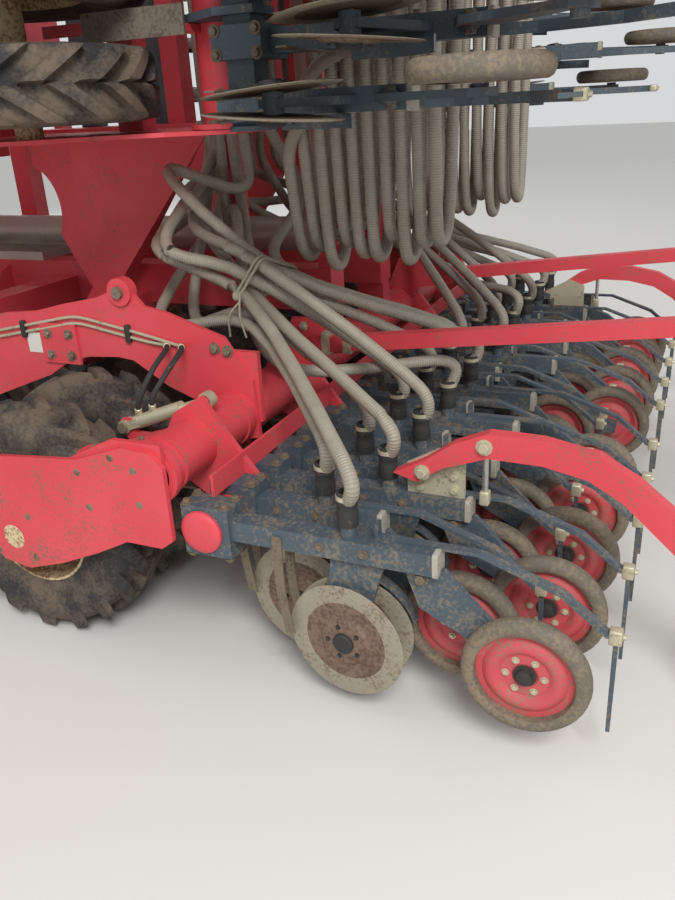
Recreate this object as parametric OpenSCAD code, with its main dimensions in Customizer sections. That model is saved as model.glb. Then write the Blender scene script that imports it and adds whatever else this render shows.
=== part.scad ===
// Trailed pneumatic seed drill, six metres wide, with its two side sections folded up.
// Millimetres. +X is the machine's right, +Y its direction of travel, +Z up.
// Inside the file Y is counted from the packer axle; at_axle() moves that to its place
// behind the origin, which is the floor point at the middle of the machine's length.
// The side sections are drawn as they stand in work and are then turned up by folded().

/* [Overall] */
// From the packer axle to the rear face of the lamp boards
rear_reach = 2350; // [2300:10:2450]
// From the packer axle to the front face of the hitch yoke
front_reach = 5650; // [5500:10:5800]
// Outer width of the centre section
centre_w = 3000; // [2990:1:3010]
// Outer width of one side section
wing_w = 1500; // [1490:1:1510]
// How far the side sections are turned up from work
fold_deg = 90; // [0:90]

/* [Packer] */
// Diameter of a packer tyre over its lugs
tyre_d = 780; // [760:2:784]
// Width of a packer tyre
tyre_w = 200; // [180:2:220]
// Tyres in one half section
tyres_per_half = 5; // [4:5]
// Diameter of the rim where the tyre sits
rim_d = 406; // [380:2:430]
// Diameter of the packer axle
axle_d = 80; // [60:2:90]

/* [Frame] */
// Thickness of the side plates of the frame
plate_t = 15; // [10:1:20]
// Distance from the outer side inwards to the inner face of an arched plate
arch_in = 527; // [520:1:535]
// Outer diameter of the round cross tube behind the tyres
cross_d = 160; // [140:2:164]
// Distance of that tube behind the packer axle
cross_back = 525; // [520:1:560]
// Height of that tube
cross_z = 660; // [640:1:680]
// Height of the fold hinge, which is also its distance from the middle
hinge_z = 750; // [750:1:752]
// Diameter of a fold hinge pin
hinge_pin_d = 50; // [40:1:56]

/* [Compact discs] */
// Diameter of a compact disc
cdisc_d = 460; // [430:2:480]
// Spacing of the compact discs in a row
cdisc_pitch = 250; // [250:1:252]
// Angle of a compact disc to the travel direction
cdisc_angle = 17; // [10:1:20]

/* [Coulters] */
// Spacing between seed rows
row_pitch = 150; // [148:1:150]
// Diameter of a seed disc
sdisc_d = 340; // [320:2:346]
// Diameter of a press wheel
press_d = 320; // [300:2:326]
// Width of a press wheel
press_w = 56; // [45:1:60]
// Side of the square coulter arm
arm_s = 60; // [50:1:64]
// Distance between the front and the rear row of coulters
row_step = 200; // [190:1:220]

/* [Tank and drawbar] */
// Width of the seed tank
tank_w = 2400; // [2200:10:2500]
// Length of the seed tank
tank_l = 1250; // [1150:10:1300]
// Top of the tank walls
tank_top = 2780; // [2700:10:2850]
// Thickness of the tank walls
tank_t = 6; // [4:1:10]
// Side of the drawbar's square tube
drawbar_s = 200; // [180:2:220]
// Spread of the two hitch pins between their shoulders
hitch_spread = 965; // [900:5:1000]
// Diameter of a hitch pin
hitch_pin_d = 36.6; // [36.6:0.1:50.8]

/* [Hoses] */
// Outer diameter of a seed hose
hose_d = 40; // [34:1:42]

/* [Hidden] */
$fn = 48;

paint_red = "#c8323c";
paint_dark = "#3a444d";
steel_grey = "#8d8678";
zinc = "#cfc8b0";
rubber_black = "#2f2f2f";

seat = 0.3;
running = 0.05;
axle_y = (rear_reach - front_reach) / 2;
axle_z = tyre_d / 2;
half_w = centre_w / 2;
// Play that the two ends of a row of tyres leave, shared out among its tyres
tyre_play = 2.5;
tyre_pitch = half_w / tyres_per_half - tyre_play;
wing_tyre_pitch = wing_w / tyres_per_half - tyre_play;
hinge_x = half_w - hinge_z;
arch_x = half_w - arch_in;
side_gap = 3;
wing_in = half_w + side_gap;
wing_out = half_w + wing_w - side_gap;
cross_y = -cross_back;

// Places the whole machine: the packer axle goes to its distance from the origin
module at_axle() {
    translate([0, axle_y, 0]) children();
}

// Turns a side section up about the fold hinge
module folded(side) {
    at_axle()
        mirror([side < 0 ? 1 : 0, 0, 0])
        translate([hinge_x, 0, hinge_z])
        rotate([0, -fold_deg, 0])
        translate([-hinge_x, 0, -hinge_z])
        children();
}

// Draws the children on the right and mirrored on the left
module both() {
    children();
    mirror([1, 0, 0]) children();
}

// A box from one corner to the opposite one
module block(lo, hi) {
    translate(lo) cube(hi - lo);
}

// A plate across X, with its outline in (y, z)
module plate_x(x, t, outline) {
    translate([x, 0, 0]) rotate([90, 0, 90]) linear_extrude(t) polygon(outline);
}

// A plate across Y, with its outline in (x, z)
module plate_y(y, t, outline) {
    translate([0, y + t, 0]) rotate([90, 0, 0]) linear_extrude(t) polygon(outline);
}

// A round bar along X, at (y, z)
module round_x(x0, x1, y, z, d) {
    translate([x0, y, z]) rotate([0, 90, 0]) cylinder(h = x1 - x0, d = d);
}

// A round bar along Y, at (x, z)
module round_y(y0, y1, x, z, d) {
    translate([x, y0, z]) rotate([-90, 0, 0]) cylinder(h = y1 - y0, d = d);
}

// A straight round bar between two points
module rod_between(a, b, d) {
    v = b - a;
    len = norm(v);
    translate(a)
        rotate([0, acos(v[2] / len), atan2(v[1], v[0])])
        cylinder(h = len, d = d);
}

// Packer tyres and axles

// Outline of a tyre across its lugs: each lug has a foot and the two ends of its tip. Its two
// halves lean against each other, so that the lugs stand as a V.
lugs = 12;
lug_h = 30;
lug_foot_to_tip = 7;
lug_lead = 15;
tyre_outline = [for (k = [0:lugs - 1]) for (p = [[lug_h, 0], [0, lug_foot_to_tip], [0, lug_lead]])
    (tyre_d / 2 - p[0]) * [cos(360 * k / lugs + p[1]), sin(360 * k / lugs + p[1])]];
// The seat on the rim is cut as a polygon round it
seat_sides = 12;

module tyre(x) {
    translate([x, 0, axle_z]) rotate([0, 90, 0]) difference() {
        for (half = [0, 1])
            mirror([0, 0, half])
            linear_extrude(tyre_w / 2, twist = lug_lead, slices = 1) polygon(tyre_outline);
        cylinder(h = 2 * tyre_w, d = (rim_d + 2 * seat) / cos(180 / seat_sides), center = true,
            $fn = seat_sides);
    }
}

module rim(x) {
    rb = rim_d / 2;
    w = tyre_w / 2;
    translate([x, 0, axle_z]) rotate([0, 90, 0]) rotate_extrude()
        polygon([[axle_d / 2 - 5, -30], [axle_d / 2 + 22, -30], [axle_d / 2 + 22, -8],
            [rb - 50, -8], [rb - 8, -w + 34], [rb - 8, -w + 22], [rb, -w + 22],
            [rb, w - 22], [rb - 8, w - 22], [rb - 8, -w + 60], [rb - 46, 4],
            [axle_d / 2 + 22, 4], [axle_d / 2 + 22, 30], [axle_d / 2 - 5, 30]]);
}

// Middles of the tyres of one half section, counted from its inner edge
function tyre_middles(pitch) = [for (i = [0:tyres_per_half - 1]) (i + 0.5) * pitch];

module centre_tyres() {
    color(rubber_black) for (x = tyre_middles(tyre_pitch)) tyre(x);
}

module centre_axle() {
    color(zinc) {
        for (x = tyre_middles(tyre_pitch)) rim(x);
        round_x(1, half_w - side_gap, 0, axle_z, axle_d);
    }
}

module wing_tyres() {
    color(rubber_black) for (x = tyre_middles(wing_tyre_pitch)) tyre(half_w + x);
}

module wing_axle() {
    color(zinc) {
        for (x = tyre_middles(wing_tyre_pitch)) rim(half_w + x);
        round_x(wing_in + 1, wing_out - 1, 0, axle_z, axle_d);
    }
}

// Frame of the centre section

beam_z = 840;
beam_h = 160;
beam_x = 260;
beam_w = 120;
hinge_beam_z = 790;
hinge_beam_h = 100;
// Middle of each fold hinge along the machine: the rear one and the front one
hinge_y = [310, 1560];
hinge_lug_w = 110;
hinge_ear_t = 25;
disc_beam_s = 100;
disc_beam_z = 590;
// Rear and front beam of the compact discs, at their middles
disc_beam_y = [910, 1360];
front_beam_y = 1720;
arch_bottom = disc_beam_z + disc_beam_s;

module arch_plate() {
    difference() {
        union() {
            plate_x(arch_x, plate_t, [[-610, 590], [-600, 780], [-510, 915], [-300, 985],
                [-220, 1000], [-180, 1045], [-100, 1045], [-32, 1020], [120, 990], [240, 962],
                [380, 950], [570, 905], [950, 825], [front_beam_y, 825],
                [front_beam_y, arch_bottom], [760, arch_bottom],
                [640, 620], [560, 610], [220, 735], [120, 795], [30, 815], [-90, 822],
                [-150, 815], [-280, 735], [-400, 690], [-460, 560]]);
            round_x(arch_x - 12, arch_x + plate_t + 12, -140, 1045, 90);
        }
        round_x(arch_x - 20, arch_x + plate_t + 20, -140, 1045, 40);
    }
    // fish-plate over the joint of its two halves
    plate_x(arch_x + plate_t - 1, 11, [[68, 785], [68, 930], [226, 925], [226, 785]]);
}

// Flat scraper bar between two tyres, hung from the round cross tube, with a narrow tip
scraper_z = 500;
function between_tyres(pitch) = [for (k = [1:tyres_per_half - 1]) k * pitch];

// Room between the bar's edge and the tyre beside it
scraper_room = 10.75;

module tyre_scraper(x, pitch) {
    half = (pitch - tyre_w) / 2 - scraper_room;
    block([x + 8 - half, -500, scraper_z + 7], [x - 10, -455, cross_z - 60]);
    block([x - half, -500, scraper_z], [x + half, -160, scraper_z + 8]);
    block([x - 16, -161, scraper_z], [x + 16, -15, scraper_z + 8]);
}

module side_arm() {
    x = half_w - side_gap - plate_t;
    difference() {
        union() {
            plate_x(x, plate_t, [[-600, 480], [-600, 700], [-560, 740], [-470, 745],
                [-306, 690], [-13, 664], [75, 600], [120, 480], [110, 360], [60, 300], [-40, 285],
                [-180, 330], [-325, 392], [-440, 450], [-560, 450]]);
            round_x(x - 25, x + plate_t, 0, axle_z, axle_d + 60);
        }
        round_x(x - 40, x + plate_t + 10, 0, axle_z, axle_d + 2 * running);
    }
    translate([0, 0, cross_z + 30])
        linear_extrude(12)
        polygon([[x - plate_t + 1, cross_y + 60], [x - plate_t + 1, -290], [x - 60, -290],
            [x - 190, cross_y + 74], [x - 190, cross_y + 60]]);
    plate_x(x - plate_t, plate_t, [[-590, 480], [-590, 760], [-430, 760], [-280, 690],
        [-280, 560], [-430, 480]]);
}

module hinge_ears(y) {
    for (dy = [-1, 1])
        difference() {
            plate_y(y - hinge_ear_t / 2 + dy * (hinge_lug_w + hinge_ear_t + 10) / 2, hinge_ear_t,
                [[400, hinge_beam_z], [400, hinge_beam_z + hinge_beam_h],
                    [520, hinge_beam_z + hinge_beam_h], [hinge_x + 20, hinge_z + 55],
                    [hinge_x + 50, hinge_z + 20], [hinge_x + 50, hinge_z - 25],
                    [hinge_x + 20, hinge_z - 36], [hinge_x - 30, hinge_z - 36],
                    [560, hinge_beam_z - 20]]);
            round_y(y - 200, y + 200, hinge_x, hinge_z, hinge_pin_d);
        }
    round_y(y - hinge_lug_w / 2 - hinge_ear_t - 15, y + hinge_lug_w / 2 + hinge_ear_t + 15,
        hinge_x, hinge_z, hinge_pin_d);
}

module main_frame() at_axle() color(paint_red) {
    both() {
        block([beam_x - beam_w / 2, cross_y - 60, beam_z],
            [beam_x + beam_w / 2, cradle_y[0], beam_z + beam_h]);
        block([beam_x - 40, cross_y - 60, cross_z + 20], [beam_x + 40, cross_y + 60, beam_z + 1]);
        arch_plate();
        side_arm();
        for (y = hinge_y) hinge_ears(y);
        for (x = between_tyres(tyre_pitch)) tyre_scraper(x, tyre_pitch);
        lift_lug();
        fold_base_ears();
        plate_x(lamp_x - 16, 16, [[-590, 690], [-640, 750], [-800, 770], [-800, 850], [-600, 880],
            [-540, 880], [-470, 720]]);
        block([1090, front_beam_y + 80, beam_z], [1180, front_beam_y + 140, tank_foot - seat]);
        block([arch_x - 20, cross_y - 90, cross_z - 20], [arch_x, cross_y + 20, beam_z + 30]);
    }
    difference() {
        round_x(-half_w + 2 * plate_t + side_gap, half_w - 2 * plate_t - side_gap,
            cross_y, cross_z, cross_d);
        round_x(-half_w, -half_w + 300, cross_y, cross_z, cross_d - 20);
        round_x(half_w - 300, half_w, cross_y, cross_z, cross_d - 20);
    }
    for (y = hinge_y)
        block([-465, y - 65, hinge_beam_z], [465, y + 65, hinge_beam_z + hinge_beam_h]);
    block([-arch_x, 620, beam_z], [arch_x, 740, beam_z + 100]);
    block([-1180, front_beam_y, 700], [1180, front_beam_y + 140, beam_z + 60]);
    difference() {
        union() {
            block([-12, -70, axle_z], [12, 70, beam_z + 20]);
            round_x(-22, 22, 0, axle_z, axle_d + 50);
            block([-beam_x, -70, beam_z], [beam_x, 70, beam_z + 60]);
        }
        round_x(-30, 30, 0, axle_z, axle_d + 2 * running);
    }
}

// Frame of a side section, drawn on the right as in work

arm_under = 970;
arm_top = 1060;

// The tapered hinge arm: a narrow flange, with flanks that open towards the section
module hinge_arm() {
    y = hinge_y[0];
    difference() {
        hull() {
            block([hinge_x + 180, y - 50, arm_under], [hinge_x + 182, y + 50, arm_top]);
            block([wing_in - 2, y - 60, arm_under], [wing_in, y + 60, arm_under + 2]);
            block([wing_in - 2, y - 500, arm_top - 2], [wing_in, y + 450, arm_top]);
        }
        translate([half_w - 260, y + 330, 800]) cylinder(h = 400, d = 320);
        translate([half_w - 80, y + 400, 800]) cylinder(h = 400, d = 200);
    }
}

module hinge_lug(y) {
    difference() {
        plate_y(y - hinge_lug_w / 2, hinge_lug_w,
            [[hinge_x - 50, hinge_z - 25], [hinge_x - 50, hinge_z + 25],
                [hinge_x + 120, arm_under + 30], [hinge_x + 182, arm_under + 70],
                [hinge_x + 200, arm_under + 10],
                [hinge_x + 50, hinge_z + 25], [hinge_x + 50, hinge_z - 25],
                [hinge_x + 25, hinge_z - 50], [hinge_x - 25, hinge_z - 50]]);
        round_y(y - 100, y + 100, hinge_x, hinge_z, hinge_pin_d + 2 * running);
    }
}

wing_plate_t = 12;

module wing_plate(x) {
    difference() {
        plate_x(x, wing_plate_t, [[-600, 560], [-600, 760], [-300, arm_top - 100], [-190, arm_top],
            [760, arm_top], [1650, arm_top - 60], [1700, 900], [1700, 660], [760, 560],
            [300, 560], [140, 400], [120, 320], [40, 270], [-40, 270], [-120, 320],
            [-200, 430], [-380, 520]]);
        round_x(x - 5, x + 20, 0, axle_z, axle_d + 2 * running);
    }
}

module wing_frame() {
    color(paint_red) {
        hinge_arm();
        for (y = hinge_y) hinge_lug(y);
        block([hinge_x + 180, hinge_y[1] - 55, arm_under], [wing_in, hinge_y[1] + 55, arm_top]);
        wing_plate(wing_in);
        wing_plate(wing_out - wing_plate_t);
        round_x(wing_in + wing_plate_t, wing_out - wing_plate_t, cross_y, cross_z, cross_d);
        for (x = between_tyres(wing_tyre_pitch)) tyre_scraper(half_w + x, wing_tyre_pitch);
        block([wing_in + wing_plate_t, 560, 840], [wing_out - wing_plate_t, 660, 940]);
        block([wing_in + wing_plate_t, -60, 860], [wing_out - wing_plate_t, 40, 940]);
    }
}

// Compact discs: two rows of dished discs on curved arms

module disc_stem(x, y, lean) {
    hub_y = y - 90;
    translate([x, 0, 0]) {
        plate_x(-12, 24, [[y - 50, disc_beam_z + 1], [y + 20, disc_beam_z + 1],
            [y + 30, 480], [hub_y + 60, 380], [hub_y + 25, 300], [hub_y - 30, 300],
            [hub_y - 40, 350], [hub_y + 10, 420], [y - 40, 500]]);
        translate([0, hub_y, 330]) rotate([0, 0, -lean * cdisc_angle])
            round_x(lean > 0 ? -10 : -45, lean > 0 ? 45 : 10, 0, 0, 70);
    }
}

module compact_disc(x, y, lean) {
    r = cdisc_d / 2;
    translate([x, y - 90, 330]) rotate([0, 0, -lean * cdisc_angle])
        mirror([lean > 0 ? 0 : 1, 0, 0])
        translate([45 + seat, 0, 0]) rotate([0, 90, 0]) rotate_extrude()
        polygon([[0, 0], [60, 0], [r, -32], [r, -28], [62, 5], [0, 5]]);
}

function disc_xs(x0, n) = [for (i = [0:n - 1]) x0 + (i + 0.5) * cdisc_pitch];

module disc_gang(x0, width, inset = 30) {
    n = floor(width / cdisc_pitch);
    color(paint_dark)
        for (row = [0, 1]) {
            y = disc_beam_y[row];
            block([x0 + inset, y - disc_beam_s / 2, disc_beam_z],
                [x0 + width - inset, y + disc_beam_s / 2, disc_beam_z + disc_beam_s]);
            for (x = disc_xs(x0, n)) disc_stem(x, y, row == 0 ? 1 : -1);
        }
}

module discs(x0, n) {
    color(steel_grey)
        for (row = [0, 1])
            for (x = disc_xs(x0, n)) compact_disc(x, disc_beam_y[row], row == 0 ? 1 : -1);
}

// Coulters: each has an arm, a pair of seed discs and a press wheel behind

bar_y = -680;
bar_z = 510;
bar_s = 80;
arm_z = 520;
// Rear row: places of the arm's end, the seed disc hub and the press wheel hub
arm_end_y = -1330;
sdisc_y = -1090;
sdisc_z = 240;
press_y = -1570;
press_z = 272;
// From the middle of the coulter to the inner face of its press wheel
press_x = 18;
sdisc_half_angle = 5;

function coulter_x(i) = (i + 0.5) * row_pitch;
function is_rear(i) = i % 2 == 1;
function row_shift(i) = is_rear(i) ? 0 : row_step;

module coulter_unit(x, s) {
    translate([x, s, 0]) {
        // arm and its cast clamp on the bar
        block([-arm_s / 2, arm_end_y, arm_z - arm_s / 2],
            [arm_s / 2, bar_y - 50 - s, arm_z + arm_s / 2]);
        translate([0, -s, 0]) difference() {
            block([-40, bar_y - 85, bar_z - 75], [40, bar_y + 62, bar_z + 75]);
            block([-41, bar_y - bar_s / 2 - seat, bar_z - bar_s / 2 - seat],
                [41, bar_y + bar_s / 2 + seat, bar_z + bar_s / 2 + seat]);
        }
        // stem plate down to the disc hub
        plate_x(-10, 20, [[sdisc_y - 110, arm_z - arm_s / 2], [sdisc_y + 40, arm_z - arm_s / 2],
            [sdisc_y + 60, 330], [sdisc_y + 30, sdisc_z - 20], [sdisc_y - 30, sdisc_z - 20],
            [sdisc_y - 60, 330]]);
        round_x(-24, 24, sdisc_y, sdisc_z, 50);
        // press wheel fork arm
        plate_x(-9, 18, [[arm_end_y + 30, arm_z - arm_s / 2 + 1], [arm_end_y - 25, arm_z - 20],
            [press_y + 30, press_z + 40], [press_y - 35, press_z + 25],
            [press_y - 30, press_z - 25], [press_y + 20, press_z - 30],
            [arm_end_y + 40, arm_z - 140], [arm_end_y + 80, arm_z - arm_s / 2 + 1]]);
        round_x(-16, 16, arm_end_y + 40, arm_z - 45, 44);
        round_x(8, press_x - seat, press_y, press_z, 40);
        round_x(-26, -8, press_y, press_z, 40);
    }
}

module seed_disc_pair(x, s) {
    r = sdisc_d / 2;
    translate([x, sdisc_y + s, sdisc_z]) for (side = [-1, 1])
        rotate([0, 0, side * sdisc_half_angle]) mirror([side < 0 ? 1 : 0, 0, 0])
            translate([27, 0, 0]) rotate([0, 90, 0]) rotate_extrude()
            polygon([[0, 0], [r, 0], [r, 3.5], [80, 3.5], [70, 12], [0, 12]]);
}

module press_wheel(x, s) {
    r = press_d / 2;
    translate([x + press_x, press_y + s, press_z]) rotate([0, 90, 0]) rotate_extrude()
        polygon([[0, 0], [r - 12, 0], [r, 12], [r, press_w - 14], [r - 10, press_w],
            [r - 34, press_w], [r - 40, press_w - 14], [0, press_w - 14]]);
}

// One tine of the light harrow behind a press wheel
module harrow_tine(x, s) {
    top = arm_z + arm_s / 2;
    translate([x - 29, s, 0]) {
        plate_x(0, 26, [[-1170, top - 1], [-1170, top + 45], [-1180, top + 45], [-1180, top + 8],
            [-1440, top + 8], [-1640, 488], [-1755, 395], [-1745, 387], [-1632, 478], [-1436, top - 1]]);
        plate_x(9, 10, [[-1754, 396], [-1772, 380], [-1772, 110], [-1762, 110], [-1760, 374],
            [-1744, 388]]);
    }
}

module coulter_row(i0, i1) {
    for (i = [i0:i1]) coulter_unit(coulter_x(i), row_shift(i));
    for (i = [i0:i1]) harrow_tine(coulter_x(i), row_shift(i));
}

last_centre = 9;
last_wing = 19;

module lift_bracket(x) {
    difference() {
        plate_x(x, 20, [[bar_y - 60, bar_z - 60], [bar_y + 60, bar_z - 60],
            [cross_y + 60, cross_z - 110], [cross_y + 110, cross_z], [cross_y + 60, cross_z + 90],
            [cross_y - 40, cross_z + 150], [cross_y - 100, cross_z + 60],
            [bar_y - 60, bar_z + 60]]);
        round_x(x - 5, x + 25, cross_y, cross_z, cross_d + 2 * running);
    }
}

// Middle of each lift cylinder, between the two outer tyres
lift_x = (tyres_per_half - 1) * tyre_pitch - 2;
bracket_x = [590, lift_x + 25];
lift_pin_d = 26;

module coulter_bar() at_axle() color(paint_red) {
    bar_end = half_w - 34;
    block([-bar_end, bar_y - bar_s / 2, bar_z - bar_s / 2], [bar_end, bar_y + bar_s / 2, bar_z + bar_s / 2]);
    both() {
        round_x(bar_end - 1, bar_end + 8, bar_y, bar_z, 125);
        for (x = bracket_x) lift_bracket(x);
        round_x(lift_x - 20, bracket_x[1] + 10, lift_b[1], lift_b[2], lift_pin_d);
    }
    block([100 - half_w, bar_y - 10, bar_z + 75 + seat], [half_w - 100, bar_y, bar_z + 140]);
}

module wing_bar() {
    color(paint_red) {
        block([wing_in + 20, bar_y - bar_s / 2, bar_z - bar_s / 2],
            [wing_out - 20, bar_y + bar_s / 2, bar_z + bar_s / 2]);
        round_x(wing_in + 8, wing_in + 21, bar_y, bar_z, 125);
        round_x(wing_out - 21, wing_out - 8, bar_y, bar_z, 125);
        for (x = [wing_tyre_pitch - 7.5, (tyres_per_half - 1) * wing_tyre_pitch])
            lift_bracket(half_w + x);
    }
}

// Lift cylinders between the arched plates and the coulter frame

lift_a = [0, -250, 670];
lift_b = [0, -560, 785];

module lift_cylinder_part(rod) {
    len = norm(lift_b - lift_a);
    dir = (lift_b - lift_a) / len;
    if (rod) {
        rod_between(lift_a + dir * 150, lift_a + dir * (len - 20), 24);
        difference() {
            round_x(-14, 14, lift_b[1], lift_b[2], 50);
            round_x(-15, 15, lift_b[1], lift_b[2], lift_pin_d + 6);
        }
    } else
        difference() {
            union() {
                rod_between(lift_a + dir * 42, lift_a + dir * 230, 44);
                round_x(-21, 21, lift_a[1], lift_a[2], 44);
                translate(lift_a) rotate([atan2(dir[2], dir[1]), 0, 0])
                    block([-21, 0, -14], [21, 60, 14]);
            }
            round_x(-10.5, 10.5, lift_a[1], lift_a[2], 72);
            rod_between(lift_a + dir * 120, lift_a + dir * 240, 24 + 2 * running);
            round_x(-30, 30, lift_a[1], lift_a[2], 20 + 2 * running);
        }
}

// Lug on the cross tube that carries the lift cylinder's fork, with its pin
module lift_lug() {
    plate_x(lift_x - 10, 20, [[-480, 600], [-465, 695], [-330, 652], [-284, 652], [-272, 692],
        [-235, 692], [-222, 670], [-235, 645], [-290, 600], [-400, 580]]);
    round_x(lift_x - 24, lift_x + 24, lift_a[1], lift_a[2], 20);
}

// Hoses: points chosen by hand, in the axle frame

function unit(v) = v / norm(v);
function catmull(p, i, t) = 0.5 * ((2 * p[i]) + (p[i + 1] - p[i - 1]) * t
    + (2 * p[i - 1] - 5 * p[i] + 4 * p[i + 1] - p[i + 2]) * t * t
    + (3 * p[i] - p[i - 1] - 3 * p[i + 1] + p[i + 2]) * t * t * t);

// A span that bows by less than this share of its length is one straight step
straight_bow = 0.03;

// A tube of six sides swept along a smooth curve through the points, with ends square to
// the two given directions
module hose(points, d, first, last, steps = 3) {
    p = concat([2 * points[0] - points[1]], points,
        [2 * points[len(points) - 1] - points[len(points) - 2]]);
    path = concat([for (i = [1:len(points) - 1])
            let (bow = norm(p[i] + p[i + 1] - p[i - 1] - p[i + 2]) / 16,
                count = bow < straight_bow * norm(p[i + 1] - p[i]) ? 1 : steps)
            for (k = [0:count - 1]) catmull(p, i, k / count)],
        [points[len(points) - 1]]);
    n = len(path);
    sides = 6;
    ring = [for (i = [0:n - 1])
        let (a = path[max(i - 1, 0)], b = path[min(i + 1, n - 1)],
            t = i == 0 ? first : i == n - 1 ? last : unit(b - a),
            u = unit(cross(t, [0.31, 0.87, 0.38])), v = cross(t, u))
        for (k = [0:sides - 1])
            path[i] + (u * cos(360 * k / sides) + v * sin(360 * k / sides)) * d / 2];
    faces = concat([[for (k = [0:sides - 1]) k]],
        [for (i = [0:n - 2]) for (k = [0:sides - 1])
            [i * sides + k, (i + 1) * sides + k,
                (i + 1) * sides + (k + 1) % sides, i * sides + (k + 1) % sides]],
        [[for (k = [0:sides - 1]) n * sides - 1 - k]]);
    polyhedron(ring, faces);
}

// Distributor tower: the air pipe from the metering unit, its riser and its head

pipe_d = 140;
pipe_z = 1078;
riser_y = -410;
bend_r = 150;
head_z = 2450;
head_r = 280;
outlet_z = 2640;
outlets = 40;
meter_y = [2260, 2640];

module distributor() at_axle() {
    color(steel_grey) {
        round_y(riser_y + bend_r, meter_y[0], 0, pipe_z, pipe_d);
        translate([0, riser_y + bend_r, pipe_z + bend_r]) rotate([0, 0, 180]) rotate([0, 90, 0])
            rotate_extrude(angle = 90) translate([bend_r, 0]) circle(d = pipe_d);
        translate([0, riser_y, pipe_z + bend_r])
            cylinder(h = head_z - pipe_z - bend_r + 1, d = pipe_d);
        translate([0, riser_y, head_z]) rotate_extrude()
            polygon([[0, 0], [pipe_d / 2, 0], [pipe_d / 2 + 30, 60], [head_r - 40, 120],
                [head_r, 150], [head_r, 230], [head_r - 40, 250], [90, 290], [0, 300]]);
        for (i = [0:outlets - 1])
            translate([0, riser_y, outlet_z]) rotate([0, 0, (i + 0.5) * 360 / outlets])
                translate([head_r - 10, 0, 0]) rotate([0, 90, 0]) cylinder(h = 50, d = 34);
    }
}

// Red frame that carries the head
post_s = 50;
post_x = 285;
post_y = [-200, -555];
shelf_z = 2400;
tower_rail_z = [shelf_z - 900, shelf_z - 400];

module tower_frame() at_axle() color(paint_red) {
    both() for (y = post_y)
        block([post_x - post_s / 2, y - post_s / 2, beam_z + beam_h],
            [post_x + post_s / 2, y + post_s / 2, shelf_z + 1]);
    difference() {
        block([-post_x - 25, post_y[1] - 25, shelf_z], [post_x + 25, post_y[0] + 25, shelf_z + 12]);
        translate([0, riser_y, shelf_z - 5]) cylinder(h = 30, d = pipe_d + 2 * seat);
    }
    for (z = tower_rail_z) for (y = post_y)
        block([-post_x, y - 15, z], [post_x, y + 15, z + 40]);
}

// Seed tank: straight walls above a hopper, open on top under its lid

tank_y0 = 1800;
wall_bottom = 1900;
hopper_bottom = 1150;
// Underside of the four feet by which the tank stands on its uprights
tank_foot = 1760;
outlet_w = 640;

module hopper(grow, top) {
    w = tank_w / 2 - tank_t + grow;
    y0 = tank_y0 + tank_t - grow;
    y1 = tank_y0 + tank_l - tank_t + grow;
    block([-w, y0, wall_bottom - 1], [w, y1, top]);
    hull() {
        block([-w, y0, wall_bottom - 1], [w, y1, wall_bottom]);
        block([-outlet_w / 2 - grow, meter_y[0] + 20 - grow, hopper_bottom - 1 + tank_t - grow],
            [outlet_w / 2 + grow, meter_y[1] - 20 + grow, hopper_bottom + tank_t - grow]);
    }
}

module seed_tank() at_axle() color(paint_red) {
    difference() {
        union() {
            hopper(tank_t, tank_top);
            block([-tank_w / 2 - 20, tank_y0, tank_top - 40], [tank_w / 2 + 20, tank_y0 + tank_l, tank_top]);
            block([-tank_w / 2, tank_y0, wall_bottom], [tank_w / 2, tank_y0 + tank_l, wall_bottom + 50]);
            block([-tank_w / 2 - 12, tank_y0 - 8, tank_top - 450],
                [tank_w / 2 + 12, tank_y0 + tank_l + 8, tank_top - 410]);
            both() for (y = [tank_y0, tank_y0 + tank_l - 80])
                block([1090, y, tank_foot], [1180, y + 80, wall_bottom + 1]);
        }
        hopper(0, tank_top + 10);
    }
    for (x = lid_hinge_x) lid_ears(x);
}

// Hinge of the lid along the tank's front edge
lid_axis = [tank_y0 + tank_l + 28, tank_top + 5];
lid_pin_d = 14;
lid_hinge_x = [-800, 800];

module tank_lid() at_axle() color(paint_dark) {
    difference() {
        block([-tank_w / 2 - 30, tank_y0 - 10, tank_top + seat],
            [tank_w / 2 + 30, tank_y0 + tank_l + 10, tank_top + 80]);
        block([-tank_w / 2 + 5, tank_y0 + 25, tank_top - 1],
            [tank_w / 2 - 5, tank_y0 + tank_l - 25, tank_top + 76]);
    }
    for (x = lid_hinge_x)
        difference() {
            union() {
                round_x(x - 40, x + 40, lid_axis[0], lid_axis[1], 30);
                block([x - 40, tank_y0 + tank_l + 5, tank_top + 2],
                    [x + 40, lid_axis[0], lid_axis[1] + 14]);
            }
            round_x(x - 50, x + 50, lid_axis[0], lid_axis[1], lid_pin_d + 2 * running);
        }
}

// Ears on the tank, with the pin that the lid turns about
module lid_ears(x) {
    for (dx = [-57, 45])
        plate_x(x + dx, 12, [[tank_y0 + tank_l - 1, tank_top - 80], [tank_y0 + tank_l - 1, tank_top - 1],
            [tank_y0 + tank_l + 13, tank_top - 1],
            [tank_y0 + tank_l + 18, tank_top + 4], [tank_y0 + tank_l + 22, tank_top + 13],
            [tank_y0 + tank_l + 42, tank_top + 13], [tank_y0 + tank_l + 42, tank_top - 10],
            [tank_y0 + tank_l + 12, tank_top - 80]]);
    round_x(x - 57, x + 57, lid_axis[0], lid_axis[1], lid_pin_d);
}

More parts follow.
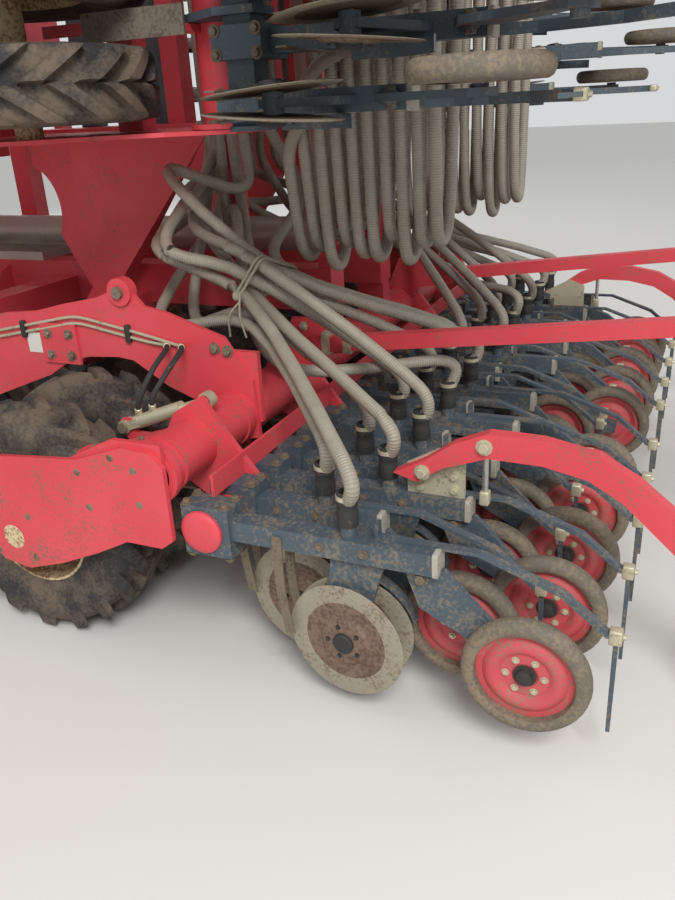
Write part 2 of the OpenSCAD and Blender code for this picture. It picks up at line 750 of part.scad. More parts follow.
module metering_unit() at_axle() color(paint_dark) {
    block([-outlet_w / 2 - 20, meter_y[0], beam_z + beam_h],
        [outlet_w / 2 + 20, meter_y[1], hopper_bottom - 1 - seat]);
    block([-beam_x + beam_w / 2 + 2, meter_y[0] + 40, 900],
        [beam_x - beam_w / 2 - 2, meter_y[1] - 40, beam_z + beam_h + 1]);
    for (x = [-260, -150, 150, 260]) round_y(meter_y[1] - 1, meter_y[1] + 60, x, pipe_z, 80);
}

fan_y = 3420;
fan_z = 1145;
fan_d = 600;

module fan_housing() at_axle() color(paint_dark) {
    difference() {
        union() {
            round_x(-110, 110, fan_y, fan_z, fan_d);
            block([-80, fan_y - 330, pipe_z - 100], [80, fan_y - 100, pipe_z + 60]);
            block([-100, fan_y - 150, drawbar_z + drawbar_s + seat], [100, fan_y + 150, fan_z - 200]);
        }
        round_x(-104, 104, fan_y, fan_z, fan_d - 12);
        round_x(-120, -100, fan_y, fan_z, 320);
    }
    round_y(meter_y[1] + seat, fan_y - 320, 0, pipe_z, 120);
    round_x(103.5, 104 + 60, fan_y, fan_z, 140);
}

module fan_rotor() at_axle() color(steel_grey) {
    round_x(-90, 103, fan_y, fan_z, 60);
    round_x(60, 64, fan_y, fan_z, 500);
    for (a = [0:30:330])
        translate([0, fan_y, fan_z]) rotate([a, 0, 0]) block([-80, 120, -2], [62, 245, 2]);
}

// Walkway grating beside the air pipe
module platform() at_axle() color(zinc) both() {
    z = beam_z + beam_h;
    block([100, 800, z], [106, 1440, z + 35]);
    block([314, 800, z], [320, 1440, z + 35]);
    for (y = [800:40:1440]) block([100, y - 3, z], [320, y + 3, z + 35]);
}

// Drawbar with its hitch yoke and the parking leg beside it

drawbar_z = 640;
hitch_y = front_reach - 60;
hitch_z = 600;
hitch_pin_l = 100;
leg_x = 165;
leg_y = hitch_y - 890;
// Front tip of the gusset under the drawbar
gusset_y = hitch_y - 1590;
leg_s = 70;
cradle_y = [2960, 3100];

module drawbar() at_axle() {
    color(paint_red) {
        block([-1180, cradle_y[0], 700], [1180, cradle_y[1], 900]);
        both() block([1090, cradle_y[0] + 10, 899], [1180, tank_y0 + tank_l, tank_foot - seat]);
        block([-drawbar_s / 2, cradle_y[1] - 1, drawbar_z],
            [drawbar_s / 2, hitch_y - 40, drawbar_z + drawbar_s]);
        translate([0, 0, drawbar_z]) linear_extrude(12)
            polygon([[-700, cradle_y[1] - 1], [700, cradle_y[1] - 1], [100, gusset_y], [-100, gusset_y]]);
        block([-120, hitch_y - 160, hitch_z - 50], [120, hitch_y - 20, drawbar_z + drawbar_s]);
        round_x(-hitch_spread / 2, hitch_spread / 2, hitch_y, hitch_z, 120);
        difference() {
            block([leg_x - 66, leg_y - 50, 420], [leg_x + 55, leg_y + 50, 1000]);
            block([leg_x - leg_s / 2 - 0.5, leg_y - leg_s / 2 - 0.5, 400],
                [leg_x + leg_s / 2 + 0.5, leg_y + leg_s / 2 + 0.5, 980]);
        }
    }
    color(zinc) both()
        round_x(hitch_spread / 2 - 1, hitch_spread / 2 + hitch_pin_l, hitch_y, hitch_z, hitch_pin_d);
}

module parking_leg() at_axle() color(zinc) {
    translate([leg_x, leg_y, 0]) cylinder(h = 20, d = 260);
    block([leg_x - leg_s / 2, leg_y - leg_s / 2, 19], [leg_x + leg_s / 2, leg_y + leg_s / 2, 660]);
}

// Lamp carriers and the lamp boards at their ends

lamp_x = 575;
lamp_s = 50;

module light_bars() at_axle() both() {
    color(paint_red) {
        plate_x(lamp_x + seat, lamp_s, [[-645, 771], [-645, 823], [15 - rear_reach, 1009],
            [15 - rear_reach, 957]]);
        block([lamp_x - 250, 10 - rear_reach, 890], [lamp_x + 250, 20 - rear_reach, 1080]);
    }
    color("#b01820") for (x = [-150, 150])
        round_y(-rear_reach, 11 - rear_reach, lamp_x + x, 985, 120);
}

// Curved pre-emergence marker arms on the outer coulters

marker_x = 1125;
module marker_arms() at_axle() both() {
    color(zinc) plate_x(marker_x - 1, 10, [[-1160, arm_z + 30], [-1160, 640], [-1250, 690],
        [-1325, 660], [-1325, arm_z + 30]]);
    color(paint_red) {
        plate_x(marker_x + 6, 40, [[-1130, 620], [-1216, 665], [-1300, 725], [-1394, 765],
            [-1535, 762], [-1671, 735], [-1770, 680], [-1857, 610], [-1990, 480], [-2110, 400],
            [-2205, 290], [-2165, 265], [-2080, 350], [-1950, 420], [-1820, 540], [-1740, 615],
            [-1650, 668], [-1535, 692], [-1394, 695], [-1270, 650], [-1200, 600]]);
        round_x(marker_x + 45, marker_x + 70, -2180, 290, 60);
    }
    color(steel_grey) round_x(marker_x + 68, marker_x + 73, -2180, 290, 300);
}

// Fold cylinders

fold_y = 1050;
fold_base = [hinge_x - 330, hinge_z + 50];
fold_eye = [half_w - 150, 900];
fold_barrel_d = 80;

// Unit direction from the base to the eye in the folded position, in (x, z)
fold_tip = [hinge_x + hinge_z - fold_eye[1], hinge_z - hinge_x + fold_eye[0]];
fold_len = norm(fold_tip - fold_base);
fold_dir = (fold_tip - fold_base) / fold_len;
fold_barrel_l = fold_len - 128.7;

module fold_cylinder_part(rod) {
    function along(s) = [fold_base[0] + fold_dir[0] * s, fold_y, fold_base[1] + fold_dir[1] * s];
    if (rod) {
        rod_between(along(60), along(fold_len - 30), 40);
        difference() {
            round_y(fold_y - 28, fold_y + 28, fold_tip[0], fold_tip[1], 80);
            round_y(fold_y - 30, fold_y + 30, fold_tip[0], fold_tip[1], 40);
        }
    } else {
        difference() {
            union() {
                rod_between(along(30), along(fold_barrel_l), fold_barrel_d);
                round_y(fold_y - 43, fold_y + 43, fold_base[0], fold_base[1], 80);
            }
            round_y(fold_y - 70, fold_y + 70, fold_base[0], fold_base[1], 40 + 2 * running);
            rod_between(along(50), along(fold_barrel_l + 50), 40 + 2 * running);
        }
    }
}

module fold_base_ears() {
    for (dy = [-56, 44])
        plate_y(fold_y + dy, 12, [[319, 850], [319, 980], [380, 960], [465, 820], [455, 775],
            [420, 758], [385, 765]]);
    round_y(fold_y - 62, fold_y + 62, fold_base[0], fold_base[1], 40);
}

module fold_eye_plate() {
    x = fold_eye[0];
    plate_y(fold_y + 29, 12, [[x + 90, 975], [wing_in, 975], [wing_in, arm_top], [x + 90, arm_top],
        [x - 40, 930], [x - 45, 885], [x - 10, 860], [x + 30, 865]]);
    block([x + 90, hinge_y[0] + 440, arm_under + 5], [wing_in, hinge_y[1] - 50, arm_top]);
}

// Hose routes, drawn on the left. Each hose keeps its own lane, so that none meets another.

inlet_z = 640;
ring_r = 420;
inlet_front_y = -970;
inlet_rear_y = -1100;
function inlet(i) = [coulter_x(i), is_rear(i) ? inlet_rear_y : inlet_front_y, inlet_z + seat];
function outlet_dir(k) = let (a = 90 + (k + 0.5) * 360 / outlets) [cos(a), sin(a), 0];
function outlet_end(k) = [0, riser_y, outlet_z] + outlet_dir(k) * (head_r + 41);
function outlet_turn(k) = [0, riser_y, outlet_z - 40] + outlet_dir(k) * ring_r;

// Centre hoses, from the innermost outwards. Each goes from its inlet by two points in the
// open to its riser, which stands straight below its own outlet of the head.
centre_via = [[[-595, -515, 1060], [-285, -470, 1265]], [[-655, -565, 1050], [-670, -145, 1395]],
    [[-620, -470, 1030], [-350, -265, 1050]], [[-810, -580, 790], [-445, -275, 1230]],
    [[-805, -495, 1080], [-830, -220, 1170]], [[-810, -565, 1110], [-630, -210, 1200]],
    [[-800, -505, 945], [-645, -175, 885]], [[-825, -575, 980], [-365, -15, 1260]],
    [[-865, -535, 930], [-820, -145, 910]],
    [[-840, -520, 1010], [-760, -135, 1145], [-95, 105, 1215]]];
// Foot of each riser
riser_foot = [1595, 1295, 1630, 1155, 1410, 1340, 1330, 1355, 1195, 1630];
riser_r = ring_r + 5;
riser_top = 2450;

// Ten hoses of one half of the centre section
module half_centre_hoses() {
    for (i = [0:last_centre]) {
        a = inlet(i);
        k = last_centre - i;
        stand = [0, riser_y, 0] + outlet_dir(k) * riser_r;
        hose(concat([[-a[0], a[1], a[2]], [-a[0], a[1], a[2] + 110]], centre_via[i],
            [for (z = [riser_foot[i], riser_foot[i] + 250, riser_top]) stand + [0, 0, z],
                outlet_turn(k) + [0, 0, 10], outlet_end(k)]),
            hose_d, [0, 0, 1], -outlet_dir(k));
    }
}

// Ten hoses of one side section: from the coulters inwards, down in a loop and up to the head
module wing_hoses() {
    for (j = [0:last_wing - last_centre - 1]) {
        i = j + last_centre + 1;
        z = coulter_x(i);
        x = -(half_w - inlet_z);
        y = inlet(i)[1];
        lane = -620 - 52 * j;
        low = 1060 + 12 * j;
        hose([[x + seat, y, z], [x + 45, y, z], [-770, y * 0.4 + lane * 0.6, z - 25],
            [-665, lane, z - 130], [-650, lane, z * 0.45 + low * 0.55], [-620, lane, low + 60],
            [-560, lane, low], [-490, lane, low + 50], [-440, lane, low + 450],
            [-420, lane, 2250], outlet_turn(j + 10) - [2 * j, 0, 0], outlet_end(j + 10)],
            hose_d, [1, 0, 0], -outlet_dir(j + 10));
    }
}

// Nodes

module at_right() at_axle() children();
module at_left() at_axle() mirror([1, 0, 0]) children();

module centre_hoses() at_axle() color("#8f887c") {
    half_centre_hoses();
    mirror([1, 0, 0]) half_centre_hoses();
}
module left_hoses() at_axle() color("#8f887c") wing_hoses();
module right_hoses() at_axle() mirror([1, 0, 0]) color("#8f887c") wing_hoses();

module centre_disc_gang() at_axle() disc_gang(-half_w, centre_w);
module centre_discs() at_axle() discs(-half_w, floor(centre_w / cdisc_pitch));
module coulter_arms() at_axle() color(paint_dark) both() {
    coulter_row(0, last_centre);
    for (i = [0:last_centre]) inlet_elbow(i);
}
module inlet_elbow(i) {
    a = inlet(i);
    translate([a[0], a[1], arm_z + arm_s / 2 - 1]) cylinder(h = inlet_z - arm_z - arm_s / 2 + 1, d = 44);
}
module seed_discs() at_axle() color(steel_grey) both()
    for (i = [0:last_centre]) seed_disc_pair(coulter_x(i), row_shift(i));
module press_wheels_front() at_axle() color(paint_red) both()
    for (i = [0:2:last_centre]) press_wheel(coulter_x(i), row_shift(i));
module press_wheels_rear() at_axle() color(paint_red) both()
    for (i = [1:2:last_centre]) press_wheel(coulter_x(i), row_shift(i));
module lift_barrels() at_axle() color(zinc) both() translate([lift_x, 0, 0]) lift_cylinder_part(false);
module lift_rods() at_axle() color(zinc) both() translate([lift_x, 0, 0]) lift_cylinder_part(true);

module wing_disc_gang() {
    disc_gang(half_w, wing_w, side_gap + wing_plate_t + seat);
}

module wing_coulters() {
    wing_bar();
    color(paint_dark) {
        coulter_row(last_centre + 1, last_wing);
        for (i = [last_centre + 1:last_wing]) inlet_elbow(i);
    }
}
module wing_seed_discs() color(steel_grey)
    for (i = [last_centre + 1:last_wing]) seed_disc_pair(coulter_x(i), row_shift(i));
module wing_press(rear) color(paint_red)
    for (i = [last_centre + 1:last_wing]) if (is_rear(i) == rear) press_wheel(coulter_x(i), row_shift(i));
module wing_whole_frame() {
    wing_frame();
    color(paint_red) fold_eye_plate();
}

main_frame();
drawbar();
parking_leg();
seed_tank();
tank_lid();
metering_unit();
fan_housing();
fan_rotor();
tower_frame();
distributor();
platform();
centre_hoses();
left_hoses();
right_hoses();
at_left() centre_tyres();  // centre_left_tyres
at_left() centre_axle();  // centre_left_axle
at_right() centre_tyres();  // centre_right_tyres
at_right() centre_axle();  // centre_right_axle
centre_disc_gang();
centre_discs();
coulter_bar();
coulter_arms();
seed_discs();
press_wheels_front();
press_wheels_rear();
lift_barrels();
lift_rods();
light_bars();
marker_arms();
folded(-1) wing_whole_frame();  // left_wing_frame
folded(-1) wing_tyres();  // left_tyres
folded(-1) wing_axle();  // left_axle
folded(-1) wing_disc_gang();  // left_disc_gang
folded(-1) discs(half_w, floor(wing_w / cdisc_pitch));  // left_discs
folded(-1) wing_coulters();  // left_coulters
folded(-1) wing_seed_discs();  // left_seed_discs
folded(-1) wing_press(false);  // left_press_front
folded(-1) wing_press(true);  // left_press_rear
at_left() color(zinc) fold_cylinder_part(false);  // left_fold_barrel
at_left() color(zinc) fold_cylinder_part(true);  // left_fold_rod
folded(1) wing_whole_frame();  // right_wing_frame
folded(1) wing_tyres();  // right_tyres
folded(1) wing_axle();  // right_axle
folded(1) wing_disc_gang();  // right_disc_gang
folded(1) discs(half_w, floor(wing_w / cdisc_pitch));  // right_discs
folded(1) wing_coulters();  // right_coulters
folded(1) wing_seed_discs();  // right_seed_discs
folded(1) wing_press(false);  // right_press_front
folded(1) wing_press(true);  // right_press_rear
at_right() color(zinc) fold_cylinder_part(false);  // right_fold_barrel
at_right() color(zinc) fold_cylinder_part(true);  // right_fold_rod
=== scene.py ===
import math
import bmesh
import bpy
import mathutils
import numpy as np
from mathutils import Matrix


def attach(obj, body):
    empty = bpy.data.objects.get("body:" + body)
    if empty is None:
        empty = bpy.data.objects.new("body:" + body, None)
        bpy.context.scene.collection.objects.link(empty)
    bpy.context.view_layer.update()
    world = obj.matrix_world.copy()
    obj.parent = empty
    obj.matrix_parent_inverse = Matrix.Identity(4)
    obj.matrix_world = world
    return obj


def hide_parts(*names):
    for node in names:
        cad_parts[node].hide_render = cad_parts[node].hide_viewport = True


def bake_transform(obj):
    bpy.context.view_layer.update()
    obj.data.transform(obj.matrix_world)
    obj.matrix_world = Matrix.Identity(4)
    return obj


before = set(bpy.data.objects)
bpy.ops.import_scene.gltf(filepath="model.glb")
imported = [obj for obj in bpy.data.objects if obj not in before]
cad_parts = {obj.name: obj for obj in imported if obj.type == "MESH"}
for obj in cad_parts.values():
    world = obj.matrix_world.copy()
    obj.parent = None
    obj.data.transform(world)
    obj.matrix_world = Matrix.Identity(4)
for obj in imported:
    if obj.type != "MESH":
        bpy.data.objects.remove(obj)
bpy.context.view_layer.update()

# The packer axle is this far behind the middle of the machine's length; the road width is twice HALF_W
AXLE_Y, HALF_W = -1.650, 1.5
SIDES = ((-1, "left"), (1, "right"))
OUTWARD, UPWARD, ORIGIN = (1, 0, 0), (0, 0, 1), (0, 0, 0)
UPRIGHT = np.eye(3)

# Camera at the photograph's place: behind the left rear corner, at eye height, looking forwards
# across the folded machine. Its lens was fitted to the tyres, coulters and frame in the picture.
camera_data = bpy.data.cameras.new("photo_camera")
camera = bpy.data.objects.new("photo_camera", camera_data)
bpy.context.collection.objects.link(camera)
bpy.context.scene.camera = camera
FOCAL_PX, IMAGE_H, SENSOR_MM = 805.5, 900, 24.0
camera_data.sensor_fit = "VERTICAL"
camera_data.sensor_height = SENSOR_MM
camera_data.lens = SENSOR_MM * FOCAL_PX / IMAGE_H
camera_data.clip_start = 0.05
heading, dip, roll = math.radians(65.26), math.radians(23.26), math.radians(-3.14)
forward = np.array([math.sin(heading) * math.cos(dip), math.cos(heading) * math.cos(dip), -math.sin(dip)])
right = np.array([math.cos(heading), -math.sin(heading), 0.0])
up = np.cross(right, forward)
right, up = right * math.cos(roll) + up * math.sin(roll), up * math.cos(roll) - right * math.sin(roll)
place = mathutils.Matrix(np.stack([right, up, -forward], axis=1).tolist()).to_4x4()
place.translation = (-3.075, AXLE_Y - 1.842, 1.568)
camera.matrix_world = place

# Studio: a pale floor, a wide soft key light from the camera's left, and a plain pale world,
# at a level at which a colour renders about as it is written.
bpy.context.scene.view_settings.view_transform = "Standard"


def linear(code):
    """Linear RGBA of an sRGB hex colour: below 0.04045 divided by 12.92, above it the 2.4 power curve."""
    value = np.array([int(code[i:i + 2], 16) / 255 for i in (1, 3, 5)])
    value = np.where(value <= 0.04045, value / 12.92, ((value + 0.055) / 1.055) ** 2.4)
    return (*value.tolist(), 1.0)


def add(tree, kind, inputs=None, **settings):
    """Adds one shader node with its settings, sets or links its inputs, and returns it."""
    made = tree.nodes.new(kind)
    for key, value in settings.items():
        setattr(made, key, value)
    for key, value in (inputs or {}).items():
        if isinstance(value, bpy.types.NodeSocket):
            tree.links.new(value, made.inputs[key])
        else:
            made.inputs[key].default_value = value
    return made


def bare_material(name):
    """A new material of nodes, with its tree and its shader."""
    made = bpy.data.materials.new(name)
    made.use_nodes = True
    return made, made.node_tree, made.node_tree.nodes["Principled BSDF"]


FLOOR_REACH = 40.0
floor_mesh = bpy.data.meshes.new("studio_floor")
corners = [(x * FLOOR_REACH, y * FLOOR_REACH, 0) for x, y in ((-1, -1), (1, -1), (1, 1), (-1, 1))]
floor_mesh.from_pydata(corners, [], [(0, 1, 2, 3)])
floor = bpy.data.objects.new("studio_floor", floor_mesh)
bpy.context.collection.objects.link(floor)
floor_paint, _, floor_shader = bare_material("matt_studio_floor")
floor_shader.inputs["Base Color"].default_value = linear("#d6d4cf")
floor_shader.inputs["Roughness"].default_value = 0.9
floor_mesh.materials.append(floor_paint)

world = bpy.data.worlds.new("studio")
world.use_nodes = True
bpy.context.scene.world = world
world.node_tree.nodes["Background"].inputs["Color"].default_value = linear("#f2f4f6")
world.node_tree.nodes["Background"].inputs["Strength"].default_value = 0.75

for label, spot, size, watts in (("key", (-6.5, -6.0, 6.5), 3.0, 650), ("fill", (6.0, 7.0, 6.0), 5.0, 350)):
    light_data = bpy.data.lights.new(label, "AREA")
    light_data.energy = watts
    light_data.size = size
    light = bpy.data.objects.new(label, light_data)
    light.location = spot
    aim = mathutils.Vector((-0.5, AXLE_Y, 1.0)) - light.location
    light.rotation_euler = aim.to_track_quat("-Z", "Y").to_euler()
    bpy.context.collection.objects.link(light)


# Red paint of the frame, tank, side sections and marker arms: two-pack machinery enamel sprayed
# on steel. Sun has faded it in patches, field dust lies on it, and grit has chipped it to primer.
def noise(tree, place, scale, detail, roughness=0.5):
    """Noise from 0 to 1 whose largest patches are about 1 / scale metres wide."""
    return add(tree, "ShaderNodeTexNoise", {"Vector": place, "Scale": scale, "Detail": detail,
                                            "Roughness": roughness}).outputs["Fac"]


def spread(tree, value, low, high, to_low, to_high):
    """The span from low to high drawn onto the span from to_low to to_high, and held beyond both."""
    return add(tree, "ShaderNodeMapRange", {"Value": value, "From Min": low, "From Max": high,
                                            "To Min": to_low, "To Max": to_high}).outputs[0]


def maths(tree, operation, first, second=0.5):
    """One arithmetic step on one or two values."""
    return add(tree, "ShaderNodeMath", {0: first, 1: second}, operation=operation).outputs[0]


def mixed_colour(tree, share, first, second):
    """The first colour where the share is 0 and the second where it is 1; each is a hex code or an output."""
    first, second = (linear(c) if isinstance(c, str) else c for c in (first, second))
    return add(tree, "ShaderNodeMix", {"Factor": share, 6: first, 7: second}, data_type="RGBA").outputs[2]


def raise_surface(tree, shader, height, strength, distance):
    """Bump from a height value, on a surface that has its real shape already."""
    rise = add(tree, "ShaderNodeBump", {"Height": height, "Strength": strength, "Distance": distance})
    tree.links.new(rise.outputs["Normal"], shader.inputs["Normal"])


# Scales of the noises for fading, patches of dirt, specks of it and flakes of paint, and the height up to
# which wheels throw dirt
DRIFT, PATCH, SPECK, FLAKE, SPLASH_Z = 3.1, 9.0, 95.0, 38.0, 1.1


def weathered(name, body, faded, dirt, dirt_share, roughness, metallic=0.0, chip=None, low_dirt=0.0):
    """A surface with slow colour drift, specks, and dirt in noise patches that thickens near the floor."""
    made, tree, shader = bare_material(name)
    place = add(tree, "ShaderNodeTexCoord").outputs["Object"]
    colour = mixed_colour(tree, noise(tree, place, DRIFT, 4.0), body, faded)
    amount = maths(tree, "ADD", noise(tree, place, PATCH, 9.0, 0.68), noise(tree, place, SPECK, 3.0, 0.6))
    if low_dirt:
        height = add(tree, "ShaderNodeSeparateXYZ", {"Vector": place}).outputs["Z"]
        amount = maths(tree, "ADD", amount, spread(tree, height, SPLASH_Z, 0.0, 0.0, low_dirt))
    edge = 1.32 - dirt_share
    colour = mixed_colour(tree, spread(tree, amount, edge, edge + 0.22, 0.0, 0.85), colour, dirt)
    if chip:
        flake = noise(tree, place, FLAKE, 8.0, 0.8)
        colour = mixed_colour(tree, spread(tree, flake, 0.70, 0.72, 0.0, 1.0), colour, chip)
    tree.links.new(colour, shader.inputs["Base Color"])
    rough = spread(tree, amount, 0.7, 1.4, roughness - 0.08, min(0.95, roughness + 0.35))
    tree.links.new(rough, shader.inputs["Roughness"])
    shader.inputs["Metallic"].default_value = metallic
    raise_surface(tree, shader, amount, 0.25, 0.002)
    return made


def dress(material, *nodes):
    """Gives CAD nodes that stay in view this material on all their faces."""
    for node in nodes:
        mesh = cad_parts[node].data
        mesh.materials.clear()
        mesh.materials.append(material)


def sort_faces(node, materials, choose):
    """Adds materials to a dressed CAD node and lets choose pick one for each face, 0 for the first, from how
    far the face's middle is from the machine's middle in X and from the axle in Y, and from its height."""
    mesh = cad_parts[node].data
    for material in materials:
        mesh.materials.append(material)
    middle = np.zeros(len(mesh.polygons) * 3)
    mesh.polygons.foreach_get("center", middle)
    x, y, z = middle.reshape(-1, 3).T
    mesh.polygons.foreach_set("material_index", choose(np.abs(x), y - AXLE_Y, z).astype(np.int32))


red_enamel = weathered("red_machinery_enamel", "#c9303c", "#d8525a", "#7d6350", 0.22, 0.42,
                       chip="#6b2a28", low_dirt=0.10)
dress(red_enamel, "main_frame", "drawbar", "seed_tank", "tower_frame", "coulter_bar", "light_bars",
      "marker_arms", "left_wing_frame", "right_wing_frame")

# Tyre scrapers: bars that soil has scoured to brown steel, just behind the tyres. Their faces are told
# by where they lie: a height on the centre frame, a distance from the middle on a folded side section.
scoured = weathered("brown_scoured_steel", "#6f665c", "#82776a", "#5a4a3b", 0.35, 0.55, metallic=0.3)
SCRAPER_Z, SCRAPER_X, SCRAPER_Y = (0.499, 0.509), (0.991, 1.001), (-0.505, -0.155)


def within(value, span):
    """Where a value lies inside a span."""
    return (value > span[0]) & (value < span[1])


sort_faces("main_frame", [scoured],
           lambda x, y, z: within(z, SCRAPER_Z) & within(y, SCRAPER_Y) & (x < 1.46))
for _, word in SIDES:
    sort_faces(word + "_wing_frame", [scoured],
               lambda x, y, z: within(x, SCRAPER_X) & within(y, SCRAPER_Y))

# Dark enamel of the coulter arms, compact disc beams, tank lid, fan and metering unit: blue-grey
# machinery enamel, dulled by dust that has dried on it.
dark_enamel = weathered("blue_grey_enamel", "#3b4750", "#4d5a63", "#7d7160", 0.26, 0.48,
                        chip="#82796b", low_dirt=0.14)
dress(dark_enamel, "coulter_arms", "left_coulters", "right_coulters", "centre_disc_gang", "left_disc_gang",
      "right_disc_gang", "metering_unit", "tank_lid", "fan_housing")

# Ground steel of the compact discs and seed discs: boron steel scoured bright where it runs in
# soil, with dried soil and rust towards the hub.
soil_steel = weathered("soil_scoured_boron_steel", "#9a8e7e", "#86705c", "#6b5444", 0.42, 0.5, metallic=0.35)
dress(soil_steel, "centre_discs", "left_discs", "right_discs", "seed_discs", "left_seed_discs",
      "right_seed_discs", "fan_rotor")

# Bare metal: the distributor and platform are galvanised, the leg and cylinders zinc-plated, and
# bolts dulled by weather. The packers' rims have cream enamel, which rusts through.
galvanised = weathered("galvanised_steel", "#c3c0b4", "#aeab9f", "#83765f", 0.14, 0.42, metallic=0.55)
zinc_plate = weathered("yellow_zinc_plate", "#cbc4aa", "#b7af93", "#85755b", 0.22, 0.38, metallic=0.45)
dull_zinc = weathered("dulled_zinc_bolts", "#8f8471", "#7b6e5c", "#5f4c3a", 0.35, 0.5, metallic=0.35)
rusty_rim = weathered("cream_rim_enamel_with_rust", "#d9c9a4", "#c4ab80", "#7a4a2e", 0.40, 0.55,
                      chip="#6a3f28", low_dirt=0.05)
dress(galvanised, "distributor", "platform")
dress(zinc_plate, "parking_leg", "lift_barrels", "lift_rods", "left_fold_barrel", "left_fold_rod",
      "right_fold_barrel", "right_fold_rod")
dress(rusty_rim, "centre_left_axle", "centre_right_axle", "left_axle", "right_axle")


# Packer tyres: moulded black rubber, 780 mm over the lugs, each with chevron lugs that meet the
# soil one after the other. Dried mud fills the grooves and dulls the rubber.
def grid_faces(rows, columns, wrap_rows=False, wrap_columns=False):
    """Quads of a grid of points in row order; a wrapped direction joins its last line to its first."""
    i = np.arange(rows if wrap_rows else rows - 1)
    j = np.arange(columns if wrap_columns else columns - 1)
    i, j = np.meshgrid(i, j, indexing="ij")
    i2, j2 = (i + 1) % rows, (j + 1) % columns
    quads = [i * columns + j, i2 * columns + j, i2 * columns + j2, i * columns + j2]
    return np.stack(quads, axis=-1).reshape(-1, 4)


SMOOTH_DEG = 35.0


def add_piece(name, shapes, materials, body, replaced=()):
    """Joins shapes, each (points, quads, material index), into one closed mesh that rides on a body, if
    one is named."""
    points = np.concatenate([shape[0] for shape in shapes])
    starts = np.cumsum([0] + [len(shape[0]) for shape in shapes[:-1]])
    quads = np.concatenate([shape[1] + start for shape, start in zip(shapes, starts)])
    index = np.concatenate([np.full(len(shape[1]), shape[2]) for shape in shapes])
    mesh = bpy.data.meshes.new(name)
    mesh.vertices.add(len(points))
    mesh.vertices.foreach_set("co", points.astype(np.float32).ravel())
    mesh.loops.add(quads.size)
    mesh.loops.foreach_set("vertex_index", quads.astype(np.int32).ravel())
    mesh.polygons.add(len(quads))
    mesh.polygons.foreach_set("loop_start", np.arange(0, quads.size, 4, dtype=np.int32))
    mesh.polygons.foreach_set("material_index", index.astype(np.int32))
    mesh.update(calc_edges=True)
    shell = bmesh.new()
    shell.from_mesh(mesh)
    bmesh.ops.remove_doubles(shell, verts=shell.verts, dist=2e-5)
    bmesh.ops.dissolve_degenerate(shell, dist=1e-6, edges=shell.edges)
    bmesh.ops.recalc_face_normals(shell, faces=shell.faces)
    shell.to_mesh(mesh)
    shell.free()
    mesh.polygons.foreach_set("use_smooth", np.ones(len(mesh.polygons), dtype=bool))
    mesh.set_sharp_from_angle(angle=math.radians(SMOOTH_DEG))
    for material in materials:
        mesh.materials.append(material)
    made = bpy.data.objects.new(name, mesh)
    bpy.context.collection.objects.link(made)
    if body:
        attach(made, body)
    if replaced:
        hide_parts(*replaced)
    return made


def copies(shape, places):
    """One shape set down at many places: each place is a 3 by 3 turn and a shift."""
    points, quads, index = shape
    turns = np.stack([p[0] for p in places])
    shifts = np.stack([p[1] for p in places])
    moved = np.einsum("nij,vj->nvi", turns, points) + shifts[:, None, :]
    offset = np.arange(len(places))[:, None, None] * len(points)
    return moved.reshape(-1, 3), (quads[None] + offset).reshape(-1, 4), index


def placed(shape, side, wing):
    """A shape drawn on the right as in work, in the axle frame, put where it is on the folded machine: on a
    side section x becomes height and height is counted inwards from 1.5 m; the left is mirrored."""
    x, y, z = np.moveaxis(np.asarray(shape[0], dtype=float), -1, 0)
    if wing:
        x, z = HALF_W - z, x
    return np.stack([side * x, y + AXLE_Y, z], axis=-1), shape[1], shape[2]


TYRE_R, BEAD_R, HALF_TREAD = 0.390, 0.2035, 0.09
TYRE_PITCH, TYRES_A_ROW, LUGS = 0.2975, 5, 16
# Share of a lug's pitch at which a bar starts to rise, is full, starts to fall and has ended
BAR_PHASE = (0.22, 0.30, 0.66, 0.72)
# A bar runs ahead by this share of the pitch from the middle to the edge of the tread
BAR_LEAD = 0.9


def lugged_tyre():
    """Radius over angle and profile: a casing profile plus chevron bars. The grid leans with the bars: its
    angle is the base angle less a lead that grows from the middle outwards, so each bar's edge is a grid
    line. The crown falls by 10 mm with the square of the distance from the middle."""
    across = np.array([-0.078, -0.090, -0.100, -0.1, -0.097, -0.091, -0.082, -0.070, -0.056, -0.040,
                       -0.022, -0.008])
    casing = np.array([BEAD_R, 0.236, 0.280, 0.308, 0.326, 0.342, 0.351, 0.355, 0.357, 0.358, 0.358, 0.358])
    across = np.concatenate([across, [0.0], -across[::-1]])
    casing = np.concatenate([casing, [0.358], casing[::-1]])
    cuts = np.array([0.0, 0.08, 0.16, 0.22, 0.30, 0.40])
    base = (np.arange(LUGS)[:, None] + np.concatenate([cuts, cuts + 0.5])).reshape(-1)
    base, w = np.meshgrid(base, across, indexing="ij")
    a = (base - BAR_LEAD * np.abs(w) / HALF_TREAD) * 2 * np.pi / LUGS
    radius = np.broadcast_to(casing, a.shape)
    bar = np.interp((base + 0.5 * (w > 0)) % 1.0, BAR_PHASE, (0, 1, 1, 0))
    reach_in = np.clip((np.abs(w) + 0.006) / 0.012, 0, 1) * np.clip((0.1015 - np.abs(w)) / 0.010, 0, 1)
    side_fall = np.clip((casing - 0.300) / 0.05, 0, 1)
    crown = TYRE_R - 0.010 * (np.abs(w) / HALF_TREAD) ** 2
    radius = radius + (np.maximum(crown, radius) - radius) * bar * reach_in * side_fall
    points = np.stack([w, radius * np.cos(a), radius * np.sin(a)], axis=-1)
    edges = [-1, 0]
    inner = np.stack([w[:, edges], BEAD_R * np.cos(a[:, edges]), BEAD_R * np.sin(a[:, edges])], axis=-1)
    points = np.concatenate([points, inner], axis=1)
    return points.reshape(-1, 3), grid_faces(*points.shape[:2], True, True), 0


